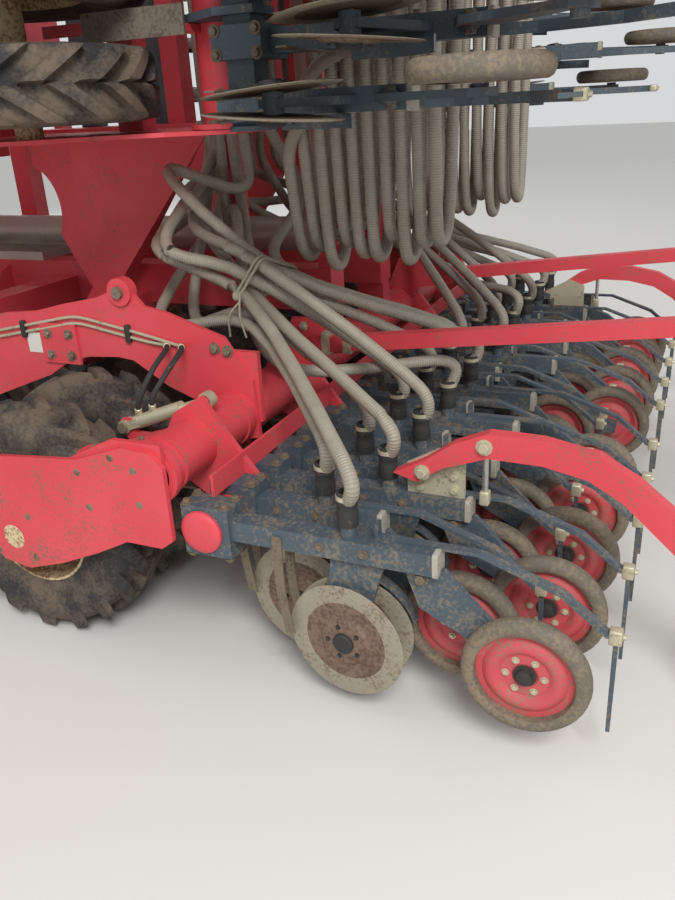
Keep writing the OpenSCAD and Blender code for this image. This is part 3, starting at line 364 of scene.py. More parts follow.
muddy_rubber, tree, shader = bare_material("muddy_tyre_rubber")
spot = add(tree, "ShaderNodeTexCoord").outputs["Object"]
grain = maths(tree, "MULTIPLY", noise(tree, spot, 90.0, 4.0), 0.35)
mud = maths(tree, "ADD", noise(tree, spot, 6.0, 9.0, 0.62), grain)
skin = mixed_colour(tree, spread(tree, mud, 0.58, 0.80, 0.0, 0.8), "#2c2b2c", "#6f5f4f")
tree.links.new(skin, shader.inputs["Base Color"])
shader.inputs["Roughness"].default_value = 0.85
raise_surface(tree, shader, mud, 0.5, 0.006)

tyre_shape = lugged_tyre()
for side, word in SIDES:
    for name, start, node in ((f"centre_{word}_lugged_tyres", 0.0, f"centre_{word}_tyres"),
                              (f"{word}_wing_lugged_tyres", HALF_W, f"{word}_tyres")):
        wing = start > 0
        spots = [np.array([start + (k + 0.5) * TYRE_PITCH, 0.0, TYRE_R]) for k in range(TYRES_A_ROW)]
        row = [placed(copies(tyre_shape, [(UPRIGHT, spot)]), side, wing) for spot in spots]
        add_piece(name, row, [muddy_rubber], f"{word}_wing_packer" if wing else f"{word}_packer",
                  replaced=[node])


# Seed hoses: grey-beige ribbed plastic hose, 40 mm outside, one from each outlet of the head to
# each coulter. A clamp holds both ends, so none of them hangs free.
def unit(vector):
    """A vector, or each of many, divided by its length."""
    return vector / np.linalg.norm(vector, axis=-1, keepdims=True)


def smooth_path(points, steps):
    """Catmull-Rom curve: between two points, half the sum of the four nearest points weighted by cubics."""
    p = np.asarray(points, dtype=float)
    p = np.concatenate([[2 * p[0] - p[1]], p, [2 * p[-1] - p[-2]]])
    t = np.arange(steps)[None, :, None] / steps
    a, b, c, d = (p[k:len(p) - 3 + k][:, None, :] for k in range(4))
    curve = 0.5 * (2 * b + (c - a) * t + (2 * a - 5 * b + 4 * c - d) * t ** 2
                   + (3 * b - a - 3 * c + d) * t ** 3)
    return np.concatenate([curve.reshape(-1, 3), p[-2:-1]])


def run_length(path):
    """Length of a path from its start to each of its points."""
    return np.concatenate([[0], np.cumsum(np.linalg.norm(np.diff(path, axis=0), axis=1))])


def relaxed(path, spacing=0.012, rounds=24):
    """A hose can't kink: the path at even spacing, each inner point moved half-way to the middle of its two
    neighbours again and again, then thinned to where it has turned by 8 degrees or run on 0.2 m."""
    length = run_length(path)
    even = np.linspace(0, length[-1], int(length[-1] / spacing) + 1)
    p = np.stack([np.interp(even, length, path[:, k]) for k in range(3)], axis=1)
    for _ in range(rounds):
        p[4:-4] += 0.5 * ((p[3:-5] + p[5:-3]) / 2 - p[4:-4])
    way = unit(np.gradient(p, axis=0))
    kept = [0]
    for k in range(1, len(p) - 1):
        if way[k] @ way[kept[-1]] < math.cos(math.radians(8)) or (k - kept[-1]) * spacing > 0.2:
            kept.append(k)
    return p[kept + [len(p) - 1]]


def tube(path, radius, sides=10, index=0, closed_ends=True):
    """A circle of this radius carried along a path, square to it at each point; the ends close to a point."""
    path = np.asarray(path, dtype=float)
    along = unit(np.gradient(path, axis=0))
    across = unit(np.cross(along, (0.31, 0.87, 0.38)))
    other = np.cross(along, across)
    angle = np.linspace(0, 2 * np.pi, sides, endpoint=False)
    ring = across[:, None] * np.cos(angle)[None, :, None] + other[:, None] * np.sin(angle)[None, :, None]
    points = path[:, None] + ring * radius
    if closed_ends:
        points = np.concatenate([np.broadcast_to(path[:1, None], (1, sides, 3)), points,
                                 np.broadcast_to(path[-1:, None], (1, sides, 3))])
    return points.reshape(-1, 3), grid_faces(len(points), sides, False, True), index


# The riser stands RISER_Y from the axle. Its head has 40 outlets, 9 degrees apart, at HEAD_R from its
# middle, and the hoses of the centre section come up in a ring of RING_R round it.
RISER_Y, OUTLET_Z, HEAD_R, RING_R = -0.410, 2.640, 0.280, 0.420
OUTLETS, ROW_PITCH, ROWS, HOSE_R, HOSE_SIDES = 40, 0.150, 10, 0.020, 12
# In work a hose starts at HOSE_Z, in a sleeve that stands on the inlet at INLET_Z, and it ends the same
# way, HOSE_OFF outside the head
INLET_Z, HOSE_Z, HOSE_OFF = 0.590, 0.6403, 0.041
# Points in the open that each centre hose passes, and where it joins its riser, in mm from the axle
CENTRE_VIA = (((-595, -515, 1060), (-285, -470, 1265)), ((-655, -565, 1050), (-670, -145, 1395)),
              ((-620, -470, 1030), (-350, -265, 1050)), ((-810, -580, 790), (-445, -275, 1230)),
              ((-805, -495, 1080), (-830, -220, 1170)), ((-810, -565, 1110), (-630, -210, 1200)),
              ((-800, -505, 945), (-645, -175, 885)), ((-825, -575, 980), (-365, -15, 1260)),
              ((-865, -535, 930), (-820, -145, 910)),
              ((-840, -520, 1010), (-760, -135, 1145), (-95, 105, 1215)))
RISER_FOOT = (1595, 1295, 1630, 1155, 1410, 1340, 1330, 1355, 1195, 1630)


def coulter_x(i):
    """Row i is half a pitch and i pitches from the middle of the machine in work."""
    return (i + 0.5) * ROW_PITCH


def inlet_y(i):
    """Hose inlet of row i: odd rows stand behind even ones."""
    return -1.100 if i % 2 else -0.970


def outlet_way(k):
    """Direction of outlet k, counted from half an outlet left of the middle of the rear."""
    angle = math.radians(90 + (k + 0.5) * 360 / OUTLETS)
    return np.array([math.cos(angle), math.sin(angle), 0.0])


def outlet_spot(k, off):
    """The point this far outside outlet k."""
    return np.array([0, RISER_Y, OUTLET_Z]) + outlet_way(k) * (HEAD_R + off)


def centre_route(i):
    """Straight up from the coulter, through two or three points in the open, and up its own riser."""
    x, k = -coulter_x(i), ROWS - 1 - i
    out = outlet_way(k)
    stand = np.array([0, RISER_Y, 0]) + out * (RING_R + 0.005)
    foot = RISER_FOOT[i] / 1000
    points = [(x, inlet_y(i), z) for z in (HOSE_Z, 0.750)] + [np.array(p) / 1000 for p in CENTRE_VIA[i]]
    points += [stand + [0, 0, z] for z in (foot, foot + 0.250, 2.450)]
    points += [np.array([0, RISER_Y, OUTLET_Z - 0.030]) + out * RING_R, outlet_spot(k, HOSE_OFF)]
    return relaxed(smooth_path(points, 7))


def wing_route(j):
    """Inwards from the coulter of a folded side section, down in a loop, and up to the head."""
    i = j + ROWS
    z, y, lane = coulter_x(i), inlet_y(i), -0.620 - 0.052 * j
    low = 1.085 + 0.006 * j + 0.040 * math.sin(2.4 * j)
    turn = np.array([0, RISER_Y, OUTLET_Z - 0.040]) + outlet_way(i) * RING_R - [0.002 * j, 0, 0]
    points = [(HOSE_Z - HALF_W, y, z), (-0.815, y, z), (-0.770, y * 0.4 + lane * 0.6, z - 0.025),
              (-0.665, lane, z - 0.130), (-0.650, lane, z * 0.45 + low * 0.55), (-0.620, lane, low + 0.060),
              (-0.560, lane, low), (-0.490, lane, low + 0.050), (-0.440, lane, low + 0.450),
              (-0.420, lane, 2.250), turn, outlet_spot(i, HOSE_OFF)]
    return relaxed(smooth_path(points, 7))


RIB_PITCH = 0.008
ribbed_hose, tree, shader = bare_material("ribbed_polyurethane_hose")
run = add(tree, "ShaderNodeAttribute", attribute_name="along_m").outputs["Fac"]
rib = maths(tree, "SINE", maths(tree, "MULTIPLY", run, 2 * math.pi / RIB_PITCH))
spot = add(tree, "ShaderNodeTexCoord").outputs["Object"]
hose_tone_and_groove_shade = mixed_colour(tree, noise(tree, spot, 14.0, 6.0, 0.65), "#aba394", "#857c6e")
# Painted shade: the troughs between the ribs are darkened towards a dark brown-grey, by a share of up to 0.24.
hose_tone_and_groove_shade = mixed_colour(tree, spread(tree, rib, -1.0, 0.2, 0.24, 0.0), hose_tone_and_groove_shade, "#4d463c")
tree.links.new(hose_tone_and_groove_shade, shader.inputs["Base Color"])
shader.inputs["Roughness"].default_value = 0.5
raise_surface(tree, shader, rib, 0.5, 0.0012)


def hose_piece(name, routes, node):
    """Hoses as one piece, with the length run since the hose's start kept at each point for the ribs."""
    shapes = [tube(route, HOSE_R, HOSE_SIDES, closed_ends=False) for route in routes]
    runs = [np.repeat(run_length(route), HOSE_SIDES) for route in routes]
    made = add_piece(name, shapes, [ribbed_hose], None, replaced=[node])
    layer = made.data.attributes.new("along_m", "FLOAT", "POINT")
    layer.data.foreach_set("value", np.concatenate(runs).astype(np.float32))
    return made


shift = np.array([0, AXLE_Y, 0])
mirror_x = np.array([-1.0, 1.0, 1.0])
centre_paths = [centre_route(i) for i in range(ROWS)]
routes = [path + shift for path in centre_paths]
hoses = hose_piece("centre_ribbed_hoses", routes + [r * mirror_x for r in routes], "centre_hoses")
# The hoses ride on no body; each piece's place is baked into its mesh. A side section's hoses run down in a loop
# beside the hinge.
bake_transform(hoses)
routes = [wing_route(j) + shift for j in range(ROWS)]
for side, word in SIDES:
    hoses = hose_piece(word + "_ribbed_hoses", [r * [-side, 1.0, 1.0] for r in routes], word + "_hoses")
    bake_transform(hoses)


# Ends of the hoses: a black rubber elbow sleeve on each coulter inlet and each outlet of the head,
# with a zinc-plated worm clamp drawn tight round it.
def revolve(profile, centre, axis, segments, index=0):
    """A profile of (radius, distance along the axis) turned about an axis through the centre."""
    axis = unit(np.asarray(axis, dtype=float))
    helper = np.array([0.0, 0.0, 1.0]) if abs(axis[2]) < 0.9 else np.array([1.0, 0.0, 0.0])
    u = unit(np.cross(axis, helper))
    v = np.cross(axis, u)
    profile = np.asarray(profile, dtype=float)
    angle = np.linspace(0, 2 * np.pi, segments, endpoint=False)
    ring = u[None] * np.cos(angle)[:, None] + v[None] * np.sin(angle)[:, None]
    points = np.asarray(centre) + profile[:, None, 1:2] * axis + profile[:, None, 0:1] * ring[None]
    return points.reshape(-1, 3), grid_faces(len(profile), segments, False, True), index


def pair(name, shapes, materials, body, wing=False, replaced=()):
    """The same shapes on the left and on the right: as one piece, or as one a side where {side} stands in
    the name for the word left or right."""
    if "{side}" not in name:
        both = [placed(s, side, wing) for side, _ in SIDES for s in shapes]
        add_piece(name, both, materials, body, replaced=replaced)
        return
    for side, word in SIDES:
        add_piece(name.format(side=word), [placed(s, side, wing) for s in shapes], materials,
                  body.format(side=word), replaced=[node.format(side=word) for node in replaced])


def along_turn(direction):
    """The turn that takes +Z to this direction."""
    w = unit(np.asarray(direction, dtype=float))
    helper = np.array([0.0, 1.0, 0.0]) if abs(w[1]) < 0.9 else np.array([1.0, 0.0, 0.0])
    u = unit(np.cross(helper, w))
    return np.stack([u, np.cross(w, u), w], axis=1)


black_rubber = weathered("dusty_black_rubber", "#232425", "#33322f", "#6d6255", 0.18, 0.6)
SLEEVE_L, HEAD_SLEEVE_L = 0.088, 0.060
SLEEVE = ((0.0222, -0.006), (0.0275, -0.006), (0.0285, 0.0), (0.0285, 0.030), (0.0265, 0.036),
          (0.0265, 0.052), (0.0285, 0.056), (0.0285, 0.060), (0.0265, 0.066), (0.0265, 0.085),
          (0.0205, SLEEVE_L), (0.0222, -0.006))
BAND = ((0.0268, 0.067), (0.0290, 0.067), (0.0290, 0.079), (0.0268, 0.079), (0.0268, 0.067))


def end_fittings(length):
    """Rubber sleeve and zinc band about the origin, along +Z, drawn out or in to a length."""
    return [revolve([(r, s * (length / SLEEVE_L)) for r, s in profile], ORIGIN, UPWARD, 20, index)
            for index, profile in enumerate((SLEEVE, BAND))]


for wing, first, name, body in ((False, 0, "{side}_centre_hose_sleeves", "coulter_frame"),
                                (True, ROWS, "{side}_wing_hose_sleeves", "{side}_wing")):
    spots = [(UPRIGHT, np.array([coulter_x(i), inlet_y(i), INLET_Z])) for i in range(first, first + ROWS)]
    shapes = [copies(part, spots) for part in end_fittings(SLEEVE_L)]
    pair(name, shapes, [black_rubber, zinc_plate], body, wing)
outlets = [(along_turn(outlet_way(k)), outlet_spot(k, 0.006) + shift) for k in range(OUTLETS)]
add_piece("head_outlet_clamps", [copies(part, outlets) for part in end_fittings(HEAD_SLEEVE_L)],
          [black_rubber, zinc_plate], "frame")

# Press wheels: a grey-brown rubber tyre with rounded shoulders on a red pressed-steel disc, with
# six bolts round a black hub, dulled by dust.
worn_tread = weathered("dusty_grey_rubber", "#5b544b", "#6e655a", "#85755f", 0.40, 0.8)
WHEEL_TYRE = ((0.1220, 0.016), (0.1240, 0.006), (0.1320, 0.002), (0.1440, 0.0022), (0.1535, 0.008),
              (0.1585, 0.018), (0.1600, 0.028), (0.1585, 0.038), (0.1535, 0.047), (0.1440, 0.0535),
              (0.1320, 0.0545), (0.1240, 0.050), (0.1220, 0.040), (0.1220, 0.016))
WHEEL_DISC = ((0.0, 0.028), (0.030, 0.028), (0.034, 0.031), (0.060, 0.031), (0.072, 0.041),
              (0.084, 0.043), (0.096, 0.038), (0.106, 0.030), (0.1225, 0.030), (0.1225, 0.026),
              (0.104, 0.026), (0.094, 0.034), (0.084, 0.039), (0.074, 0.037), (0.062, 0.027), (0.0, 0.024))
WHEEL_HUB = ((0.0, 0.050), (0.014, 0.050), (0.019, 0.047), (0.021, 0.041), (0.021, 0.034),
             (0.029, 0.033), (0.029, 0.029), (0.0, 0.029))
BOLT_HEAD = ((0.0070, 0.0010), (0.0070, 0.0070), (0.0060, 0.0079), (0.0, 0.0079))
WASHER = ((0.0105, 0.0), (0.0105, 0.0016), (0.0060, 0.0016))
WHEEL_Z, WHEEL_Y = 0.272, {"front": -1.370, "rear": -1.570}


def bolts(places, size=1.0, index=0):
    """Hexagonal bolt heads on round washers, set down at many places, each a point and the way its head
    faces; size 1 is an M8."""
    spots = [(along_turn(way), np.asarray(spot, dtype=float)) for spot, way in places]
    return [copies(revolve(np.array(profile) * size, ORIGIN, UPWARD, sides, index), spots)
            for profile, sides in ((BOLT_HEAD, 6), (WASHER, 10))]


def on_face(x, spots, way=OUTWARD):
    """Places with the same x, from (y, z) pairs, and the way that they face."""
    return [((x, y, z), way) for y, z in spots]


def circle(x, y, z, radius, count, start=0.0, end=2 * np.pi):
    """Places on a circle about X, at even angles from start to short of end, facing outwards."""
    return on_face(x, [(y + radius * math.cos(a), z + radius * math.sin(a))
                       for a in np.linspace(start, end, count, endpoint=False)])


def turned_parts(parts, centre):
    """Parts turned about X, each (profile, segments), numbered as their materials are."""
    return [revolve(profile, centre, OUTWARD, segments, index) for index, (profile, segments) in enumerate(parts)]


def press_wheel(i, y):
    """Tyre, disc, hub and six bolts of row i's wheel, which starts 18 mm from the coulter's middle."""
    x = coulter_x(i) + 0.018
    shapes = turned_parts(((WHEEL_TYRE, 40), (WHEEL_DISC, 36), (WHEEL_HUB, 20)), (x, y, WHEEL_Z))
    return shapes + bolts(circle(x + 0.031, y, WHEEL_Z, 0.047, 6), 0.95, 3)


wheel_red = weathered("red_enamel_on_pressings", "#b83a40", "#c9545a", "#84705b", 0.34, 0.5, chip="#6b2a28")
WHEEL_MATERIALS = [worn_tread, wheel_red, black_rubber, zinc_plate]
for wing in (False, True):
    for rear, where in enumerate(("front", "rear")):
        first = ROWS if wing else 0
        shapes = [s for i in range(first + rear, first + ROWS, 2) for s in press_wheel(i, WHEEL_Y[where])]
        if wing:
            pair(f"{{side}}_wing_{where}_wheels", shapes, WHEEL_MATERIALS, f"{{side}}_wing_press_{where}",
                 True, [f"{{side}}_press_{where}"])
        else:
            pair(f"centre_{where}_wheels", shapes, WHEEL_MATERIALS, f"{where}_press_wheels",
                 False, [f"press_wheels_{where}"])


# Seed discs: pairs of flat boron steel discs set at 5 degrees to each side of a coulter. Soil keeps
# the outer band bright and pale; the middle is brown, with a sealed hub cap and five rivets.
bright_band = weathered("soil_polished_disc_band", "#a8a090", "#8f8472", "#6f5a48", 0.30, 0.45, metallic=0.30)
brown_centre = weathered("rust_brown_disc_centre", "#6f5a4a", "#80695a", "#54443a", 0.40, 0.75, metallic=0.1)
DISC_BAND = ((0.118, 0.0), (0.163, 0.0), (0.170, 0.0016), (0.163, 0.0035), (0.118, 0.0035), (0.118, 0.0))
DISC_PLATE = ((0.0, 0.0005), (0.118, 0.0005), (0.118, 0.0030), (0.074, 0.0032), (0.066, 0.0100),
              (0.040, 0.0120), (0.0, 0.0120))
HUB_CAP = ((0.030, 0.0115), (0.030, 0.0190), (0.026, 0.0230), (0.016, 0.0245), (0.0, 0.0250))
DISC_TILT_DEG, DISC_Y, DISC_Z, ROW_STAGGER = 5, -1.090, 0.240, 0.200
disc_parts = turned_parts(((DISC_BAND, 40), (DISC_PLATE, 32), (HUB_CAP, 20)), ORIGIN)
disc_parts += bolts(circle(0.0112, 0, 0, 0.048, 5), 0.7, 2)


def turn_z(degrees, flip=False):
    """A turn about Z, with X mirrored first where flip is set."""
    a = math.radians(degrees)
    turned = np.array([[math.cos(a), -math.sin(a), 0], [math.sin(a), math.cos(a), 0], [0, 0, 1.0]])
    return turned @ np.diag([-1.0 if flip else 1.0, 1.0, 1.0])


def coulter_shift(i):
    """Even rows stand this far before odd ones."""
    return 0.0 if i % 2 else ROW_STAGGER


def seed_disc_places(rows):
    """Turn and middle of both discs of each row, each 27 mm out along its own tilted axis."""
    turns = [(s, turn_z(DISC_TILT_DEG * s, s < 0)) for s in (-1, 1)]
    return [(turned, np.array([coulter_x(i), DISC_Y + coulter_shift(i), DISC_Z]) + turned @ [0.027, 0, 0])
            for i in rows for _, turned in turns]


for name, body, first, node in (("centre_seed_discs", "coulter_frame", 0, "seed_discs"),
                                ("{side}_wing_seed_discs", "{side}_wing", ROWS, "{side}_seed_discs")):
    shapes = [copies(part, seed_disc_places(range(first, first + ROWS))) for part in disc_parts]
    pair(name, shapes, [bright_band, brown_centre, black_rubber], body, first > 0, [node])


# Compact discs: dished boron steel, 460 mm, with scallops round the edge that cut straw, on a
# sealed hub with five bolts. Two rows throw the soil opposite ways.
COMPACT_R, COMPACT_PITCH, COMPACT_DEG, COMPACT_Z = 0.230, 0.250, 17, 0.330
COMPACT_HUB = ((0.0, -0.012), (0.058, -0.012), (0.058, 0.004), (0.050, 0.010), (0.030, 0.014), (0.0, 0.016))


def scalloped_disc():
    """Dish depth is the square of the radius over a fixed span, and the edge is drawn in where the cosine
    of ten turns is high; the same surface 5 mm behind closes it."""
    angle = np.linspace(0, 2 * np.pi, 60, endpoint=False)
    share = np.array([0.0, 0.25, 0.45, 0.65, 0.85, 0.97, 1.0])
    edge = COMPACT_R - 0.013 * np.clip(np.cos(10 * angle), 0, 1) ** 0.7
    r = share[None] * edge[:, None]
    depth = 0.004 - 0.034 * (r / COMPACT_R) ** 2
    front = np.stack([depth, r * np.cos(angle)[:, None], r * np.sin(angle)[:, None]], axis=-1)
    back = front.copy()
    back[..., 0] -= 0.005 * np.clip((1.0 - share) / 0.03, 0, 1)
    points = np.concatenate([front, back[:, ::-1]], axis=1)
    return points.reshape(-1, 3), grid_faces(*points.shape[:2], True, False), 0


compact_parts = [scalloped_disc(), revolve(COMPACT_HUB, ORIGIN, OUTWARD, 24, 1)]
compact_parts += bolts(circle(0.006, 0, 0, 0.046, 5, 0.3, 6.58), 1.0, 2)


def compact_places(first, count):
    """Turn and middle of the discs of the front and rear row, which lean opposite ways."""
    places = []
    for lean, y in ((1, 0.820), (-1, 1.270)):
        turned = turn_z(-COMPACT_DEG * lean, lean < 0)
        for k in range(count):
            middle = np.array([first + (k + 0.5) * COMPACT_PITCH, y, COMPACT_Z])
            places.append((turned, middle + turned @ [0.0453, 0, 0]))
    return places


COMPACT_MATERIALS = [soil_steel, dark_enamel, zinc_plate]
shapes = [placed(copies(part, compact_places(-HALF_W, 12)), 1, False) for part in compact_parts]
add_piece("centre_scalloped_discs", shapes, COMPACT_MATERIALS, "frame", replaced=["centre_discs"])
pair("{side}_wing_scalloped_discs", [copies(part, compact_places(HALF_W, 6)) for part in compact_parts],
     COMPACT_MATERIALS, "{side}_wing", True, ["{side}_discs"])


# Fittings of each coulter: plastic end cap of the arm, clamp bolts, pivot bolt, a steel scraper
# round the back of the discs, two scraper strips before them, and the spring tine's zinc clamp.
def soft_block(low, high, index=0, power=0.18):
    """A box with rounded edges: a sphere whose sines and cosines are raised to a small power."""
    low, high = np.asarray(low, dtype=float), np.asarray(high, dtype=float)
    u = np.linspace(0, 2 * np.pi, 16, endpoint=False) + np.pi / 8
    v = np.linspace(-np.pi / 2, np.pi / 2, 10)
    u, v = np.meshgrid(u, v, indexing="ij")
    ball = np.stack([np.cos(v), np.cos(v), np.sin(v)], axis=-1)
    ball = np.sign(ball) * np.abs(ball) ** power
    turn = np.stack([np.cos(u), np.sin(u), np.ones_like(u)], axis=-1)
    points = (low + high) / 2 + ball * np.sign(turn) * np.abs(turn) ** power * (high - low) / 2
    return points.reshape(-1, 3), grid_faces(*u.shape, True, False), index


def strip(path, side_way, width, thickness, index=0):
    """A flat bar carried along a path: its width lies along a fixed way, its thickness square to both."""
    path = np.asarray(path, dtype=float)
    along = unit(np.gradient(path, axis=0))
    wide = unit(np.broadcast_to(np.asarray(side_way, dtype=float), path.shape))
    thick = unit(np.cross(along, wide))
    corner = np.array([(-1, -1), (1, -1), (1, 1), (-1, 1)]) * 0.5
    points = (path[:, None] + corner[None, :, :1] * width * wide[:, None]
              + corner[None, :, 1:] * thickness * thick[:, None])
    ends = [np.broadcast_to(path[k, None, None], (1, 4, 3)) for k in (0, -1)]
    points = np.concatenate([ends[0], points, ends[1]])
    return points.reshape(-1, 3), grid_faces(len(points), 4, False, True), index


def arc_yz(x, y, z, radius, start_deg, end_deg, count):
    """Points of an arc in a plane across X, its angle counted from the rear upwards."""
    a = np.radians(np.linspace(start_deg, end_deg, count))
    return np.stack([np.full(count, x), y - radius * np.cos(a), z + radius * np.sin(a)], axis=-1)


def bent(points, radius=0.03):
    """A path with straight runs whose corners are rounded by quadratic curves between the two neighbours."""
    p = np.asarray(points, dtype=float)
    t = np.linspace(0, 1, 5)[:, None]
    out = [p[0]]
    for a, b, c in zip(p[:-2], p[1:-1], p[2:]):
        before, after = (b + unit(end - b) * min(radius, np.linalg.norm(end - b) / 2) for end in (a, c))
        out.extend((1 - t) ** 2 * before + 2 * t * (1 - t) * b + t ** 2 * after)
    out.append(p[-1])
    return np.array(out)


cap_plastic = weathered("pale_grey_end_cap", "#a9a59a", "#96917f", "#6f6250", 0.20, 0.5)
spring_steel = weathered("brown_spring_steel", "#6e6256", "#857865", "#5b4a3c", 0.30, 0.55, metallic=0.4)
COULTER_MATERIALS = [cap_plastic, zinc_plate, spring_steel, dark_enamel, black_rubber]


def coulter_fittings():
    """Fittings of a coulter at x 0 of the rear row, and those on the bar, which don't shift with the row."""
    moving = [soft_block((-0.033, -1.346, 0.486), (0.033, -1.3302, 0.554), 0)]
    for x, size, spots in ((0.0092, 2.1, [(-1.296, 0.470)]), (0.0242, 1.4, [(DISC_Y, DISC_Z)]),
                           (0.0302, 1.3, [(-1.030, 0.520), (-1.150, 0.520)])):
        moving += bolts(on_face(-x, spots, (-1, 0, 0)) + on_face(x, spots), size, 2)
    moving.append(strip(arc_yz(-0.047, DISC_Y, DISC_Z, 0.183, 18, 112, 12), OUTWARD, 0.034, 0.004, 3))
    holder = [(-0.0335, -1.150, 0.505), (-0.0335, -1.150, 0.440), (-0.047, -1.125, 0.421)]
    moving.append(strip(bent(holder), (0, 1, 0), 0.030, 0.005, 3))
    for s in (-1, 1):
        scraper = [(0.0335 * s, y, z) for y, z in ((-0.905, 0.530), (-0.905, 0.360), (-0.925, 0.230))]
        moving.append(strip(bent(scraper, 0.05), (0, 1, 0), 0.028, 0.004, 2))
    # Clamp block of the tine, at the strip's end, and its bolt
    moving.append(soft_block((-0.030, -1.780, 0.371), (-0.001, -1.749, 0.411), 1, 0.25))
    moving += bolts([((-0.016, -1.7803, 0.392), (0, -1, 0))], 1.0, 1)
    clamp = [(x, y) for x in (-0.028, 0.028) for y in (-0.752, -0.632)]
    fixed = bolts([((x, y, 0.5852), UPWARD) for x, y in clamp], 1.6, 2)
    fixed += bolts([((x, y, 0.4348), (0, 0, -1)) for x, y in clamp], 1.6, 2)
    return moving, fixed


moving_fit, fixed_fit = coulter_fittings()
for name, body, first in (("{side}_centre_coulter_fittings", "coulter_frame", 0),
                          ("{side}_wing_coulter_fittings", "{side}_wing", ROWS)):
    rows = range(first, first + ROWS)
    slide = [(UPRIGHT, np.array([coulter_x(i), coulter_shift(i), 0.0])) for i in rows]
    still = [(UPRIGHT, np.array([coulter_x(i), 0.0, 0.0])) for i in rows]
    shapes = [copies(part, slide) for part in moving_fit] + [copies(part, still) for part in fixed_fit]
    pair(name, shapes, COULTER_MATERIALS, body, first > 0)


# Bolts, pins, collars and the blank label on the arched plates and side arms of the centre frame.
# Bolts on the outermost faces are low round heads, as the 3 m road width leaves no room for more.
def low_heads(places, radius, index):
    """Low domed heads: height 0.0042 falling with the square of the radius."""
    r = radius * np.array([1.0, 0.85, 0.5, 0.0])
    head = revolve(np.stack([r, 0.0042 * (1 - (r / radius) ** 2)], axis=1), ORIGIN, UPWARD, 12, index)
    return copies(head, [(along_turn(way), np.asarray(spot, dtype=float)) for spot, way in places])


def sleeve_ring(centre, inner, outer, width, index):
    """A square-edged ring about an axis along X, as wide to each side of its centre."""
    profile = [(inner, -width / 2), (outer, -width / 2), (outer, width / 2), (inner, width / 2)]
    return revolve(profile, centre, OUTWARD, 36, index)


def pin(centre, axis, radius, start, end, segments, index):
    """A round bar along an axis, from start to end as counted from the centre."""
    return revolve([(0.0, start), (radius, start), (radius, end), (0.0, end)], centre, axis, segments, index)


label_white = weathered("blank_white_label", "#dcdad2", "#c9c5ba", "#8a7c68", 0.15, 0.45)
CROSS_Y, CROSS_Z, CROSS_R = -0.525, 0.660, 0.079
arm_spots = ((-0.302, 0.650), (-0.429, 0.710), (-0.500, 0.680), (-0.325, 0.543), (-0.505, 0.578),
             (-0.075, 0.470), (0.075, 0.470), (0.075, 0.330), (-0.075, 0.330))
shapes = [low_heads(on_face(1.495, arm_spots), 0.017, 1)]
shapes += bolts(on_face(0.998, ((0.100, 0.890), (0.190, 0.890), (0.100, 0.815), (0.190, 0.815))), 1.7, 1)
shapes += bolts(on_face(0.988, ((-0.475, 0.878), (-0.520, 0.872), (-0.500, 0.700))), 1.9, 1)
shapes += bolts([((x, y, 0.7025), UPWARD) for x, y in ((1.410, -0.415), (1.440, -0.330), (1.350, -0.425))],
                1.4, 1)
shapes.append(pin((0.980, -0.140, 1.045), OUTWARD, 0.0195, -0.034, 0.034, 20, 1))
shapes.append(strip([(0.9885, y, 0.850) for y in (0.238, 0.268, 0.298)], UPWARD, 0.072, 0.0008, 2))
shapes += [sleeve_ring((x, CROSS_Y, CROSS_Z), CROSS_R, radius, width, 0)
           for x, radius, width in ((1.452, 0.094, 0.022), (1.395, 0.086, 0.012), (1.030, 0.086, 0.030))]
shapes += [pin((x, -0.250, 0.670), OUTWARD, 0.017, -0.004, 0.004, 16, 1) for x in (1.160, 1.216)]
# Rust has run down the side arm below the joint of its flange: a thin stain with a wavy outline
stain = weathered("rust_stain", "#8a6238", "#74503a", "#6a5a3c", 0.40, 0.7)
STAIN_POINTS = 48
a = np.linspace(0, 2 * np.pi, STAIN_POINTS, endpoint=False)
waver = 1 + 0.16 * np.sin(3 * a + 0.6) + 0.09 * np.sin(7 * a) + 0.05 * np.sin(13 * a + 1.9)
edge = np.stack([0 * a, 0.017 * waver * np.cos(a), 0.062 * waver * np.sin(a)], axis=1)
layers = [np.array([x, -0.437, 0.628]) + share * edge
          for x, share in ((1.4945, 0), (1.4945, 1), (1.4952, 1), (1.4953, 0))]
shapes.append((np.concatenate(layers), grid_faces(len(layers), STAIN_POINTS, False, True), 3))
pair("frame_bolts_and_collars", shapes, [red_enamel, dull_zinc, label_white, stain], "frame")

# Hydraulics on the centre frame: black hoses from the lift cylinders to pipes clipped along the
# arched plates, with crimped zinc ends.
CRIMP = ((0.0, 0.0), (0.0115, 0.0), (0.0115, 0.030), (0.0085, 0.032))
shapes = []
for s in (0.0, 0.055):
    run = smooth_path([(1.188, -0.300 - s, 0.705 + 0.35 * s), (1.196, -0.315 - s, 0.760 + 0.35 * s),
                       (1.150, -0.345 - s, 0.845), (1.060, -0.340 - s, 0.885), (1.000, -0.300 - s, 0.880)], 8)
    shapes.append(tube(run, 0.0085, 10, 0))
    shapes += [revolve(CRIMP, run[k], run[k + step] - run[k], 10, 1) for k, step in ((0, 3), (-1, -3))]
    pipe = [(1.000, -0.300 - s, 0.880), (0.994, -0.220, 0.885 + 0.4 * s), (0.994, 0.060, 0.935 + 0.4 * s),
            (0.994, 0.560, 0.835 + 0.4 * s)]
    shapes.append(tube(bent(pipe, 0.05), 0.0055, 8, 1))
shapes += [soft_block((0.987, y - 0.010, z - 0.030), (1.003, y + 0.010, z + 0.030), 0, 0.3)
           for y, z in ((-0.150, 0.908), (0.300, 0.898), (0.500, 0.858))]
pair("hydraulic_hoses", shapes, [black_rubber, zinc_plate], "frame")

